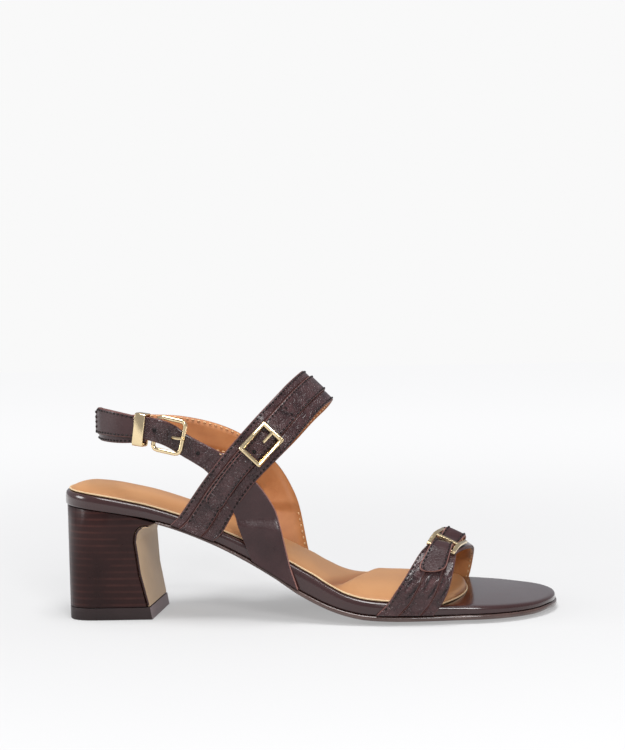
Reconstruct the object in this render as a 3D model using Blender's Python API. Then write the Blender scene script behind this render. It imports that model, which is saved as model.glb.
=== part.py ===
"""Block heel sandal, the right shoe, seen with its toe toward +X and its inner side toward +Y.

The origin is the centre of the heel lift's bottom face. Every length is in metres. The tables hold
their lengths as shares of the named sizes, one row for each section of the shoe.
"""

import math

import bmesh
import bpy
from mathutils import Vector

# Sole and heel
LENGTH = 0.232
BALL_WIDTH = 0.0824
HEEL_OVERHANG = LENGTH * 0.0948
HEEL_RISE = 0.0532
RAND_HEIGHT = 0.0070
OUTSOLE_THICK = 0.0028
OUTSOLE_WELT = 0.0007
INSOLE_THICK = 0.0036
INSOLE_MARGIN = 0.0024
HEEL_BASE_LENGTH = LENGTH * 0.1746
HEEL_BASE_WIDTH = 0.037
LIFT_HEIGHT = 0.0056
COVER_THICK = 0.0012
COVER_MARGIN = 0.0010

# Straps
INSTEP_HEIGHT = 0.1127
INSTEP_WIDTH = 0.064
STRAP_THICK = 0.0020
VAMP_THICK = 0.0017
SLING_THICK = 0.0016
SLING_INSET = 0.0002
TAB_THICK = 0.0014
SLING_REACH = LENGTH * 0.1198
SLING_TURN_X = LENGTH * 0.1034
SLING_WIDTH = INSTEP_WIDTH * 0.922

# Buckles
BAR = 0.0019
BAND_BUCKLE_LENGTH = 0.0172
BAND_BUCKLE_WIDTH = 0.0128
VAMP_BUCKLE_WIDTH = 0.0136
SLING_BUCKLE_LENGTH = 0.0146
SLING_BUCKLE_WIDTH = 0.0168
SHARP_CORNER = 0.0008
ROUND_CORNER = 0.0032
KEEPER_LENGTH = 0.0052
KEEPER_WALL = 0.0008
KEEPER_CORNER = 0.0012
PRONG_RADIUS = 0.0007
TAB_MARGIN = 0.0001

CLEARANCE = 0.0003
BREAST_SKEW = 0.105
TREAD_RISE = 0.0016
TREAD_FLAT = 0.45
TREAD_START = 0.46
TOE_TIP_SHIFT = 0.003
HEEL_END = 0.112
TOE_START = 0.800
OUTSOLE_START = 0.196

LATERAL = -1
MEDIAL = 1

# Side of the sole. Columns: station along the length, underside as a share of the heel rise,
# outsole as a share of its thickness, rand as a share of its height.
PROFILE = (
    (0.000, 1.000, 0.00, 0.97),
    (0.065, 0.970, 0.00, 0.94),
    (0.125, 0.932, 0.00, 0.87),
    (0.181, 0.868, 0.36, 0.78),
    (0.224, 0.812, 0.43, 0.74),
    (0.302, 0.677, 0.50, 0.82),
    (0.364, 0.541, 0.57, 0.95),
    (0.427, 0.380, 0.64, 1.15),
    (0.474, 0.242, 0.71, 1.42),
    (0.500, 0.177, 0.79, 1.42),
    (0.530, 0.113, 0.82, 1.28),
    (0.567, 0.055, 0.90, 1.07),
    (0.603, 0.019, 0.96, 1.00),
    (0.642, 0.004, 1.00, 0.96),
    (0.677, 0.000, 1.00, 0.90),
    (0.741, 0.000, 1.00, 0.76),
    (0.862, 0.000, 1.00, 0.58),
    (0.930, 0.000, 1.00, 0.50),
    (1.000, 0.024, 0.90, 0.43),
)

# Plan of the sole between its round ends. Columns: station, lateral and medial edge as shares of
# the ball width.
OUTLINE = (
    (0.112, 0.309, 0.309),
    (0.181, 0.313, 0.303),
    (0.224, 0.316, 0.291),
    (0.302, 0.328, 0.267),
    (0.364, 0.343, 0.255),
    (0.427, 0.370, 0.265),
    (0.500, 0.419, 0.309),
    (0.567, 0.471, 0.382),
    (0.642, 0.500, 0.455),
    (0.698, 0.500, 0.491),
    (0.741, 0.493, 0.500),
    (0.800, 0.479, 0.489),
)

# Heel block seen from above, from its base up. Columns: height as a share of the heel rise, half
# width as a share of the base width, back as a share of the base length, squareness of the back.
HEEL_FORM = (
    (-0.050, 0.500, 0.495, 3.6),
    (0.105, 0.515, 0.500, 3.4),
    (0.400, 0.570, 0.505, 3.0),
    (0.700, 0.630, 0.515, 2.5),
    (1.080, 0.675, 0.530, 2.0),
)

# Breast of the heel on the shoe's centre line. Columns: height as a share of the heel rise, reach
# forward as a share of the base length.
HEEL_BREAST = (
    (0.000, 0.500),
    (0.105, 0.475),
    (0.400, 0.392),
    (0.690, 0.355),
    (0.760, 0.368),
    (0.805, 0.400),
    (0.830, 0.445),
    (0.840, 0.495),
    (0.836, 0.540),
)

# Padding of the insole. Columns: place along the sock, with its crease at 0, crown at the middle and
# at the edge as shares of the insole's thickness.
PADDING = (
    (-1.00, 0.75, 0.45),
    (-0.80, 1.00, 0.45),
    (-0.45, 0.90, 0.45),
    (-0.12, 0.80, 0.45),
    (-0.03, 0.45, 0.40),
    (0.03, 0.55, 0.40),
    (0.12, 1.45, 0.50),
    (0.45, 1.45, 0.50),
    (1.00, 0.55, 0.40),
)
CREASE_LATERAL = 0.560
CREASE_MEDIAL = 0.650
SOCK_FRONT_LATERAL = 0.757
SOCK_FRONT_MEDIAL = 0.812
SOCK_FRONT_BOW = 0.010

# Instep band from the lateral side of the rand to its crest. Columns: back edge's station and
# height, front edge's station and height, distance out from the middle. Stations are shares of the
# length, heights of the instep height and distances of half the instep width.
INSTEP_BAND = (
    (0.288, 0.572, 0.360, 0.482, 0.940),
    (0.336, 0.696, 0.394, 0.574, 1.000),
    (0.391, 0.822, 0.451, 0.692, 0.955),
    (0.428, 0.900, 0.488, 0.776, 0.780),
    (0.457, 0.959, 0.517, 0.838, 0.490),
    (0.478, 1.000, 0.539, 0.877, 0.000),
)
BAND_SEATS = ((0.224, 0.309), (0.240, 0.326))
BAND_MEDIAL_LEAD = 0.018

# Quarter from the rand to the place where it goes under the instep band, in the band's columns.
LATERAL_QUARTER = (
    (0.355, 0.413, 0.428, 0.404, 0.960),
    (0.353, 0.430, 0.416, 0.470, 0.975),
    (0.350, 0.446, 0.395, 0.561, 0.985),
    (0.320, 0.540, 0.362, 0.628, 1.000),
    (0.299, 0.616, 0.330, 0.684, 0.995),
)
LATERAL_SEATS = ((0.384, 0.474), (0.371, 0.458))
MEDIAL_QUARTER = (
    (0.394, 0.413, 0.475, 0.412, 0.900),
    (0.391, 0.440, 0.457, 0.504, 0.950),
    (0.388, 0.464, 0.432, 0.587, 0.985),
    (0.358, 0.550, 0.396, 0.660, 1.000),
    (0.328, 0.630, 0.353, 0.728, 0.985),
)
MEDIAL_SEATS = ((0.423, 0.512), (0.410, 0.496))

# Sling from the crossing back to the heel. Columns: lower edge's station and height, upper edge's
# station and height, distance out, all as in the instep band.
LATERAL_SLING = (
    (0.247, 0.688, 0.264, 0.766, 0.965),
    (0.222, 0.720, 0.238, 0.806, 0.968),
    (0.196, 0.744, 0.206, 0.836, 1.040),
)
MEDIAL_SLING = (
    (0.282, 0.660, 0.299, 0.778, 0.955),
    (0.224, 0.702, 0.233, 0.811, 0.930),
)
# Round the back of the heel. Columns: angle from straight back, lower and upper edge as shares of
# the instep height. The billet laps over the heel strap on the lateral side.
HEEL_TURN = (
    (80, 0.735, 0.822),
    (55, 0.738, 0.825),
    (28, 0.740, 0.828),
    (0, 0.740, 0.829),
    (-28, 0.738, 0.827),
    (-55, 0.735, 0.823),
    (-76, 0.737, 0.818),
)
HEEL_STRAP_END = (0.181, 0.739, 0.184, 0.819, 0.925)
BILLET_TURN = (
    (-78, 0.757, 0.846),
    (-58, 0.763, 0.864),
    (-38, 0.767, 0.875),
    (-29, 0.768, 0.876),
    (-24, 0.774, 0.846),
)

# Where the buckles sit, on the lateral side. Heights are shares of the instep height.
BAND_BUCKLE_HEIGHT = 0.722
BAND_TAB_TOP = 0.750
BAND_TAB_END = 0.482
SLING_BUCKLE_STATION = 0.228
SLING_BUCKLE_HEIGHT = 0.766
SLING_BUCKLE_TILT = 13
KEEPER_STATION = 0.172
# Bars of the vamp buckle, and where its tab starts and ends, as shares of half the ball width.
VAMP_FAR_BAR = 0.26
VAMP_MIDDLE_BAR = 0.60
VAMP_LOWER_BAR = 0.76
VAMP_TAB_TOP = 0.33
VAMP_TAB_END = 0.975

# Tabs from their start to their round end. Columns: place, lift above the strap in bars.
BAND_TAB = ((0.0, 0.0), (0.3, 0.1), (0.6, 0.3), (1.0, 0.3))
VAMP_TAB = ((0.0, 0.0), (0.36, 0.0), (0.50, 0.92), (0.57, 1.08), (0.66, 0.95), (0.85, 0.3), (1.0, 0.05))

# Vamp strap from the lateral side of the rand over the toes. Columns as in the instep band, with
# distances as shares of half the ball width.
VAMP = (
    (0.661, 0.138, 0.760, 0.129, -1.030),
    (0.678, 0.184, 0.770, 0.182, -1.005),
    (0.709, 0.268, 0.780, 0.243, -0.845),
    (0.731, 0.298, 0.785, 0.257, -0.640),
    (0.748, 0.319, 0.809, 0.260, -0.340),
    (0.763, 0.323, 0.826, 0.245, 0.000),
    (0.776, 0.309, 0.836, 0.226, 0.370),
    (0.778, 0.268, 0.847, 0.194, 0.690),
    (0.766, 0.178, 0.851, 0.142, 0.925),
)
VAMP_LATERAL_SEATS = ((0.623, 0.733), (0.645, 0.746))
VAMP_MEDIAL_SEATS = ((0.753, 0.843), (0.742, 0.836))

# Wall of a strap across its width. Columns: share of the width from the back edge, outer face as a
# share of the wall.
BAND_WALL = ((0.00, 0.85), (0.02, 1.0), (0.20, 1.0), (0.22, 1.4), (0.70, 1.4), (0.72, 1.0), (0.98, 1.0), (1.00, 0.85))
VAMP_WALL = ((0.00, 0.80), (0.38, 1.2), (0.40, 0.9), (0.75, 1.3), (0.77, 0.9), (1.00, 1.0))
SLING_WALL = ((0.00, 0.85), (0.06, 1.0), (0.94, 1.0), (1.00, 0.85))


def clear_scene():
    """Removes what the file holds, so that the sandal stands alone."""
    for obj in list(bpy.data.objects):
        bpy.data.objects.remove(obj, do_unlink=True)


def finish(name, colour, roughness, metallic=0.0):
    """A Principled material of one plain colour."""
    material = bpy.data.materials.new(name)
    material.use_nodes = True
    shader = material.node_tree.nodes["Principled BSDF"]
    shader.inputs["Base Color"].default_value = (*colour, 1.0)
    shader.inputs["Roughness"].default_value = roughness
    shader.inputs["Metallic"].default_value = metallic
    return material


def blend(a, b, share):
    """The value a share of the way from a to b."""
    return a + (b - a) * share


def smooth(table, column, at):
    """The table's column at a place, on a curve that never overshoots its rows."""
    places = [row[0] for row in table]
    values = [row[column] for row in table]
    if at <= places[0]:
        return values[0]
    if at >= places[-1]:
        return values[-1]
    steps = [places[i + 1] - places[i] for i in range(len(places) - 1)]
    rises = [(values[i + 1] - values[i]) / steps[i] for i in range(len(steps))]
    slopes = [rises[0]]
    for before, after in zip(rises, rises[1:]):
        slopes.append(0.0 if before * after <= 0 else 2 * before * after / (before + after))
    slopes.append(rises[-1])
    i = max(k for k in range(len(steps)) if places[k] <= at)
    t = (at - places[i]) / steps[i]
    start = values[i] * (1 + 2 * t) * (1 - t) ** 2 + slopes[i] * steps[i] * t * (1 - t) ** 2
    end = values[i + 1] * t * t * (3 - 2 * t) + slopes[i + 1] * steps[i] * t * t * (t - 1)
    return start + end


def x_at(station):
    return station * LENGTH - HEEL_OVERHANG


def station_at(x):
    return (x + HEEL_OVERHANG) / LENGTH


def underside(x):
    """The lowest line of the sole: the heel's top at the back, the outsole's bottom in front."""
    return HEEL_RISE * smooth(PROFILE, 1, station_at(x))


def tread_rise(x, y):
    """How far the tread curves up from the floor toward its edges, in front of the waist."""
    side = LATERAL if y < 0 else MEDIAL
    reach = min(1.0, abs(y) / max(abs(edge_y(x, side)), BALL_WIDTH * TREAD_FLAT / 2))
    fade = max(0.0, min(1.0, (station_at(x) - TREAD_START) * 6))
    return TREAD_RISE * fade * max(0.0, (reach - TREAD_FLAT) / (1 - TREAD_FLAT)) ** 1.5


def outsole_top(x, y=0.0):
    rise = tread_rise(x, y) * 0.55
    return underside(x) + OUTSOLE_THICK * smooth(PROFILE, 2, station_at(x)) + rise


def rand_bottom(x, y=0.0):
    return outsole_top(x, y) + CLEARANCE


def rand_top(x):
    return rand_bottom(x) + RAND_HEIGHT * smooth(PROFILE, 3, station_at(x))


def edge_y(x, side):
    """The sole's edge on one side at x, with round ends at heel and toe."""
    column = 1 if side == LATERAL else 2
    station = station_at(x)
    if station < HEEL_END:
        reach = min(1.0, (HEEL_END - station) / HEEL_END)
        return side * BALL_WIDTH * OUTLINE[0][column] * (1 - reach**2.2) ** (1 / 2.2)
    if station > TOE_START:
        reach = min(1.0, (station - TOE_START) / (1 - TOE_START))
        wide = side * BALL_WIDTH * OUTLINE[-1][column]
        return TOE_TIP_SHIFT + (wide - TOE_TIP_SHIFT) * math.sqrt(1 - reach**2)
    return side * BALL_WIDTH * smooth(OUTLINE, column, station)


def mesh_object(name, points, faces, material, smooth_angle=40):
    """A closed mesh object from points and faces, its faces turned outwards."""
    mesh = bpy.data.meshes.new(name)
    form = bmesh.new()
    verts = [form.verts.new(point) for point in points]
    for face in faces:
        form.faces.new([verts[i] for i in face])
    bmesh.ops.remove_doubles(form, verts=form.verts, dist=1e-7)
    bmesh.ops.recalc_face_normals(form, faces=form.faces)
    form.to_mesh(mesh)
    form.free()
    mesh.shade_smooth()
    mesh.set_sharp_from_angle(angle=math.radians(smooth_angle))
    obj = bpy.data.objects.new(name, mesh)
    bpy.context.scene.collection.objects.link(obj)
    if material:
        mesh.materials.append(material)
    return obj


def end_bow(corner_x, y, end):
    """How far the sole's round end lies beyond a corner's x at this y."""
    if end == "heel":
        half = BALL_WIDTH * OUTLINE[0][1]
        share = min(1.0, abs(y) / half)
        x = x_at(HEEL_END) - HEEL_END * LENGTH * (1 - share**2.2) ** (1 / 2.2)
    else:
        side = LATERAL if y < TOE_TIP_SHIFT else MEDIAL
        wide = side * BALL_WIDTH * OUTLINE[-1][1 if side == LATERAL else 2]
        share = min(1.0, (y - TOE_TIP_SHIFT) / (wide - TOE_TIP_SHIFT))
        x = x_at(TOE_START) + (1 - TOE_START) * LENGTH * math.sqrt(1 - share**2)
    return x - corner_x


def plan_grid(first, last, rows, columns, start_end=None, front_end=None):
    """Rows of (x, y) from the lateral to the medial edge. A round end bows its last rows.

    first and last hold the lateral and the medial station of the end rows.
    """
    grid = []
    for i in range(rows + 1):
        share = i / rows
        eased = share - math.sin(2 * math.pi * share) / (2 * math.pi) * 0.55
        left = x_at(blend(first[0], last[0], eased))
        right = x_at(blend(first[1], last[1], eased))
        low, high = edge_y(left, LATERAL), edge_y(right, MEDIAL)
        row = []
        for j in range(columns + 1):
            across = j / columns
            x, y = blend(left, right, across), blend(low, high, across)
            ends = ((start_end, 1 - share, first), (front_end, share, last))
            for end, near, corner in ends:
                fade = max(0.0, near * 5 - 4) ** 1.5
                if end == "sock":
                    x += SOCK_FRONT_BOW * 4 * across * (1 - across) * fade
                elif end:
                    tip = x_at(blend(corner[0], corner[1], across))
                    far = blend(edge_y(x_at(corner[0]), LATERAL), edge_y(x_at(corner[1]), MEDIAL), across)
                    x += end_bow(tip, far, end) * fade
            row.append(Vector((x, y, 0)))
        grid.append(row)
    return grid


def rim_of(grid):
    """The grid's outer loop as index pairs: heel end, medial side, front end, lateral side."""
    rows, columns = len(grid) - 1, len(grid[0]) - 1
    loop = [(0, j) for j in range(columns)]
    loop += [(i, columns) for i in range(rows)]
    loop += [(rows, j) for j in range(columns, 0, -1)]
    loop += [(i, 0) for i in range(rows, 0, -1)]
    return loop


def inset_loop(grid, loop, distance):
    """The loop's points moved in along the plan by a distance, or out if it is negative."""
    points = [grid[i][j] for i, j in loop]
    moved = []
    for k, point in enumerate(points):
        along = points[(k + 1) % len(points)] - points[k - 1]
        inward = Vector((along.y, -along.x, 0)).normalized()
        moved.append(point + inward * distance)
    return moved


def slab(name, grid, bottom, top, rim, material):
    """A sheet between two surfaces. rim rows hold the inset and the share of the height."""
    loop = rim_of(grid)
    points, rings = [], []
    for inset, share in rim:
        ring = []
        for place in inset_loop(grid, loop, inset):
            height = blend(bottom(place.x, place.y), top(place.x, place.y), share)
            ring.append(len(points))
            points.append((place.x, place.y, height))
        rings.append(ring)
    faces = []
    for lower, upper in zip(rings, rings[1:]):
        for k in range(len(loop)):
            after = (k + 1) % len(loop)
            faces.append((lower[k], lower[after], upper[after], upper[k]))
    for surface, ring in ((bottom, rings[0]), (top, rings[-1])):
        index = {pair: ring[k] for k, pair in enumerate(loop)}
        for i, row in enumerate(grid):
            for j, place in enumerate(row):
                if (i, j) not in index:
                    index[(i, j)] = len(points)
                    points.append((place.x, place.y, surface(place.x, place.y)))
        for i in range(len(grid) - 1):
            for j in range(len(grid[0]) - 1):
                faces.append((index[(i, j)], index[(i, j + 1)], index[(i + 1, j + 1)], index[(i + 1, j)]))
    return mesh_object(name, points, faces, material)


def make_outsole(material):
    grid = plan_grid((OUTSOLE_START, OUTSOLE_START), (0.965, 0.972), 26, 8, None, "toe")
    rim = ((0.0004 - OUTSOLE_WELT, 0.0), (-OUTSOLE_WELT, 0.3), (-OUTSOLE_WELT, 0.8), (-OUTSOLE_WELT / 2, 1.0))
    return slab("outsole", grid, lambda x, y: underside(x) + tread_rise(x, y), outsole_top, rim, material)


def make_platform(material):
    grid = plan_grid((0.016, 0.016), (0.965, 0.972), 34, 8, "heel", "toe")

    def top(x, y):
        toe = max(0.0, (station_at(x) - SOCK_FRONT_LATERAL) / (1 - SOCK_FRONT_LATERAL))
        reach = min(1.0, abs(y) / (BALL_WIDTH / 2))
        return rand_top(x) + 0.0008 * math.sin(math.pi * min(1.0, toe)) * (1 - reach**2)

    rim = ((0.0006, 0.0), (0.0, 0.12), (0.0, 0.62), (0.0005, 0.88), (0.0018, 1.0))
    return slab("platform", grid, rand_bottom, top, rim, material)


def crease_place(x, y):
    """Where a point lies on the sock: -1 at the heel, 0 in the crease, 1 at the front edge."""
    across = blend(0.5, 1.0, max(-1.0, min(1.0, y / (BALL_WIDTH / 2))))
    crease = x_at(blend(CREASE_LATERAL, CREASE_MEDIAL, across))
    front = x_at(blend(SOCK_FRONT_LATERAL, SOCK_FRONT_MEDIAL, across)) + SOCK_FRONT_BOW
    if x < crease:
        return (x - crease) / (crease + HEEL_OVERHANG)
    return (x - crease) / (front - crease)


def make_insole(material):
    grid = plan_grid((0.024, 0.024), (SOCK_FRONT_LATERAL, SOCK_FRONT_MEDIAL), 40, 6, "heel", "sock")
    margin = INSOLE_MARGIN

    def top(x, y):
        place = crease_place(x, y)
        half = max(0.004, abs(edge_y(x, MEDIAL if y > 0 else LATERAL)) - margin)
        crown = (1 - min(1.0, abs(y) / half) ** 2.5)
        middle, edge = smooth(PADDING, 1, place), smooth(PADDING, 2, place)
        return rand_top(x) + CLEARANCE + 0.0008 + INSOLE_THICK * blend(edge, middle, crown)

    rim = ((margin + 0.0002, 0.0), (margin, 0.35), (margin + 0.0006, 0.8), (margin + 0.0016, 1.0))
    return slab("insole", grid, lambda x, y: rand_top(x) + CLEARANCE + 0.0008, top, rim, material)


def heel_form(name, margin, low, high):
    """The heel seen from above: a round back and straight sides that run on past the breast."""
    points, rings = [], []
    heights = [low] + [row[0] for row in HEEL_FORM if low < row[0] < high] + [high]
    for height in heights:
        half = HEEL_BASE_WIDTH * smooth(HEEL_FORM, 1, height) - margin
        back = HEEL_BASE_LENGTH * smooth(HEEL_FORM, 2, height) - margin
        power = 2 / smooth(HEEL_FORM, 3, height)
        ring = []
        for k in range(21):
            angle = math.pi * (k / 20 - 0.5)
            x = -back * math.cos(angle) ** power if abs(angle) < 1.57 else 0.0
            y = math.copysign(half * abs(math.sin(angle)) ** power, angle)
            ring.append(Vector((x, y, height * HEEL_RISE)))
        ring.append(Vector((HEEL_BASE_LENGTH, half, height * HEEL_RISE)))
        ring.append(Vector((HEEL_BASE_LENGTH, -half, height * HEEL_RISE)))
        rings.append([len(points) + k for k in range(len(ring))])
        points += ring
    faces = [tuple(rings[0]), tuple(rings[-1])]
    for lower, upper in zip(rings, rings[1:]):
        for k in range(len(lower)):
            after = (k + 1) % len(lower)
            faces.append((lower[k], lower[after], upper[after], upper[k]))
    return mesh_object(name, points, faces, None)


def across_sheet(name, outline, width):
    """A closed side outline of (x, z, skewed) pushed across the shoe. A skewed point follows the breast."""
    points = []
    for y in (-width, width):
        for x, z, skewed in outline:
            points.append((x + (BREAST_SKEW * y if skewed else 0.0), y, z))
    count = len(outline)
    faces = [tuple(range(count)), tuple(range(count, 2 * count))]
    for k in range(count):
        after = (k + 1) % count
        faces.append((k, after, after + count, k + count))
    return mesh_object(name, points, faces, None)


def boolean(obj, other, operation):
    """Adds a Boolean to obj, and makes other a guide that no render shows."""
    modifier = obj.modifiers.new(operation.lower(), "BOOLEAN")
    modifier.operation = operation
    modifier.object = other
    other.hide_render = True
    other.display_type = "WIRE"


def breast_line(offset, low=0.0):
    """The breast's side line on the centre, moved forward and down by an offset, from its foot up."""
    line = [Vector((reach * HEEL_BASE_LENGTH, height * HEEL_RISE)) for height, reach in HEEL_BREAST]
    moved = []
    for k, point in enumerate(line):
        along = (line[min(k + 1, len(line) - 1)] - line[max(k - 1, 0)]).normalized()
        moved.append(point + Vector((along.y, -along.x)) * offset)
    start = moved[0] + (moved[1] - moved[0]) * (low - moved[0].y) / (moved[1].y - moved[0].y)
    return [start] + [point for point in moved[1:] if point.y > low]


def make_heel_block(material):
    block = heel_form("heel_block", 0.0, -0.04, 1.07)
    block.data.materials.append(material)
    outline = [(p.x, p.y, True) for p in breast_line(0.0, LIFT_HEIGHT + CLEARANCE)]
    lip = outline[-1][0]
    back = -HEEL_OVERHANG * 1.2
    steps = 10
    for k in range(steps + 1):
        x = blend(lip, back, k / steps)
        outline.append((x, underside(x), False))
    outline.append((back, LIFT_HEIGHT + CLEARANCE, False))
    boolean(block, across_sheet("block_profile", outline, HEEL_BASE_WIDTH), "INTERSECT")
    return block


def make_breast_cover(material):
    cover = heel_form("heel_breast_cover", COVER_MARGIN, -0.04, 1.07)
    cover.data.materials.append(material)
    inner = breast_line(CLEARANCE, LIFT_HEIGHT + CLEARANCE)
    outer = breast_line(CLEARANCE + COVER_THICK, LIFT_HEIGHT + CLEARANCE)
    outline = [(p.x, p.y, True) for p in inner] + [(p.x, p.y, True) for p in reversed(outer)]
    boolean(cover, across_sheet("cover_profile", outline, HEEL_BASE_WIDTH), "INTERSECT")
    return cover


def make_heel_lift(material):
    lift = heel_form("heel_lift", 0.0, -0.04, 0.2)
    lift.data.materials.append(material)
    front = breast_line(CLEARANCE + COVER_THICK, 0.0)
    slope = (front[1].x - front[0].x) / (front[1].y - front[0].y)
    back = -HEEL_BASE_LENGTH
    outline = [
        (back, 0.0, False),
        (front[0].x, 0.0, True),
        (front[0].x + slope * LIFT_HEIGHT, LIFT_HEIGHT, True),
        (back, LIFT_HEIGHT, False),
    ]
    boolean(lift, across_sheet("lift_profile", outline, HEEL_BASE_WIDTH), "INTERSECT")
    return lift


def seat_row(stations, side, drop, wall):
    """A strap's row on the side of the rand: drop is 0 at its top edge and 1 at its bottom edge."""
    row = []
    for across, _ in wall:
        x = x_at(blend(stations[0], stations[1], across))
        y = edge_y(x, side)
        z = blend(rand_top(x), rand_bottom(x, y) + CLEARANCE, drop)
        row.append(Vector((x, y + side * CLEARANCE, z)))
    return row


def free_row(row, side, half_width, wall, lead=0.0):
    """A strap's row that stands free, from its back or lower edge to its front or upper edge."""
    back_x, back_z, front_x, front_z, out = row
    y = side * out * half_width
    back = Vector((x_at(back_x + lead), y, back_z * INSTEP_HEIGHT))
    front = Vector((x_at(front_x + lead), y, front_z * INSTEP_HEIGHT))
    return [back.lerp(front, across) for across, _ in wall]


def turn_row(angle, low, high, grow, wall):
    """A row of the sling round the back of the heel, grow further out than the heel strap."""
    turn = math.radians(angle)
    power = 2 / 2.2
    x = SLING_TURN_X - (SLING_REACH + grow) * math.cos(turn) ** power
    y = math.copysign((SLING_WIDTH / 2 + grow) * abs(math.sin(turn)) ** power, angle)
    lower = Vector((x, y, low * INSTEP_HEIGHT))
    upper = Vector((x, y, high * INSTEP_HEIGHT))
    return [lower.lerp(upper, across) for across, _ in wall]


def refine(rows, steps):
    """Rows on a smooth curve through the given rows, steps of them to each given row."""
    fine = []
    for i in range(len(rows) - 1):
        for step in range(steps):
            t = step / steps
            row = []
            for j in range(len(rows[0])):
                a = rows[max(i - 1, 0)][j]
                b, c = rows[i][j], rows[i + 1][j]
                d = rows[min(i + 2, len(rows) - 1)][j]
                span = (c - b).length
                start = (c - a) * (span / max((c - b).length + (b - a).length, 1e-9))
                end = (d - b) * (span / max((d - c).length + (c - b).length, 1e-9))
                point = b * (1 + 2 * t) * (1 - t) ** 2 + start * t * (1 - t) ** 2
                row.append(point + c * t * t * (3 - 2 * t) + end * t * t * (t - 1))
            fine.append(row)
    return fine + [rows[-1]]


def normals_of(rows, outward):
    """The surface's normal at each point of the rows, on the side that outward(point) names."""
    result = []
    for i in range(len(rows)):
        line = []
        for j in range(len(rows[0])):
            along = rows[min(i + 1, len(rows) - 1)][j] - rows[max(i - 1, 0)][j]
            across = rows[i][-1] - rows[i][0]
            normal = along.cross(across).normalized()
            if normal.dot(outward(rows[i][j])) < 0:
                normal.negate()
            line.append(normal)
        result.append(line)
    return result


def strap_solid(name, rows, outward, wall, thickness, inset, material):
    """A strap: its inner face lies on the rows, its outer face a wall further out."""
    normals = normals_of(rows, outward)
    points, rings = [], []
    for row, line in zip(rows, normals):
        outer = [p + n * (inset + thickness * w[1]) for p, n, w in zip(row, line, wall)]
        inner = [p + n * inset for p, n in zip(row, line)]
        keep = [k for k in (0, len(inner) // 2, len(inner) - 1)]
        ring = outer + [inner[k] for k in reversed(keep)]
        rings.append([len(points) + k for k in range(len(ring))])
        points += ring
    faces = [tuple(rings[0]), tuple(rings[-1])]
    for lower, upper in zip(rings, rings[1:]):
        for k in range(len(lower)):
            after = (k + 1) % len(lower)
            faces.append((lower[k], lower[after], upper[after], upper[k]))
    return mesh_object(name, points, faces, material)


def away_from_foot(point):
    """A direction out of the foot: sideways and up over the instep, back round the heel."""
    behind = min(0.0, point.x - SLING_TURN_X)
    height = max(0.0, point.z - INSTEP_HEIGHT * 0.7) if behind == 0.0 else 0.0
    return Vector((behind, point.y, height * 2))


def above_toes(point):
    return Vector((0.0, point.y, point.z))


def band_rows():
    """Rows of the instep band from the lateral rand over the instep to the medial rand."""
    half = INSTEP_WIDTH / 2
    rows = [seat_row(BAND_SEATS[0], LATERAL, 1.0, BAND_WALL), seat_row(BAND_SEATS[1], LATERAL, 0.0, BAND_WALL)]
    rows += [free_row(row, LATERAL, half, BAND_WALL, 0.0) for row in INSTEP_BAND[:-1]]
    rows.append(free_row(INSTEP_BAND[-1], LATERAL, half, BAND_WALL, BAND_MEDIAL_LEAD * 0.3))
    rows += [free_row(row, MEDIAL, half, BAND_WALL, BAND_MEDIAL_LEAD) for row in INSTEP_BAND[-2::-1]]
    lead = [[station + BAND_MEDIAL_LEAD for station in pair] for pair in BAND_SEATS]
    rows += [seat_row(lead[1], MEDIAL, 0.0, BAND_WALL), seat_row(lead[0], MEDIAL, 1.0, BAND_WALL)]
    return refine(rows, 3)


def lateral_rows():
    """Rows of the lateral quarter and of the billet that it becomes behind the crossing."""
    half = INSTEP_WIDTH / 2
    wall = SLING_WALL
    rows = [seat_row(LATERAL_SEATS[0], LATERAL, 1.0, wall), seat_row(LATERAL_SEATS[1], LATERAL, 0.0, wall)]
    rows += [free_row(row, LATERAL, half, wall) for row in LATERAL_QUARTER + LATERAL_SLING]
    lap = SLING_THICK + CLEARANCE * 2
    rows += [turn_row(*row, lap, wall) for row in BILLET_TURN]
    return refine(rows, 3)


def medial_rows():
    """Rows of the medial quarter and of the heel strap that it becomes behind the crossing."""
    half = INSTEP_WIDTH / 2
    wall = SLING_WALL
    rows = [seat_row(MEDIAL_SEATS[0], MEDIAL, 1.0, wall), seat_row(MEDIAL_SEATS[1], MEDIAL, 0.0, wall)]
    rows += [free_row(row, MEDIAL, half, wall) for row in MEDIAL_QUARTER + MEDIAL_SLING]
    rows += [turn_row(*row, 0.0, wall) for row in HEEL_TURN]
    rows.append(free_row(HEEL_STRAP_END, LATERAL, half, wall))
    return refine(rows, 3)


def make_rear_upper(material):
    """The instep band with the quarters and the sling joined to it where they cross."""
    upper = strap_solid("rear_upper", band_rows(), away_from_foot, BAND_WALL, STRAP_THICK, 0.0, material)
    for name, rows in (("lateral_sling", lateral_rows()), ("medial_sling", medial_rows())):
        part = strap_solid(name, rows, away_from_foot, SLING_WALL, SLING_THICK, SLING_INSET, None)
        boolean(upper, part, "UNION")
    return upper


def vamp_rows():
    """Rows of the vamp strap from the lateral rand over the toes to the medial rand."""
    half = BALL_WIDTH / 2
    wall = VAMP_WALL
    rows = [seat_row(VAMP_LATERAL_SEATS[0], LATERAL, 1.0, wall)]
    rows.append(seat_row(VAMP_LATERAL_SEATS[1], LATERAL, 0.0, wall))
    rows += [free_row(row, MEDIAL, half, wall) for row in VAMP]
    rows.append(seat_row(VAMP_MEDIAL_SEATS[0], MEDIAL, 0.0, wall))
    rows.append(seat_row(VAMP_MEDIAL_SEATS[1], MEDIAL, 1.0, wall))
    return refine(rows, 3)


def make_vamp_strap(material):
    return strap_solid("vamp_strap", vamp_rows(), above_toes, VAMP_WALL, VAMP_THICK, 0.0, material)


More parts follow.
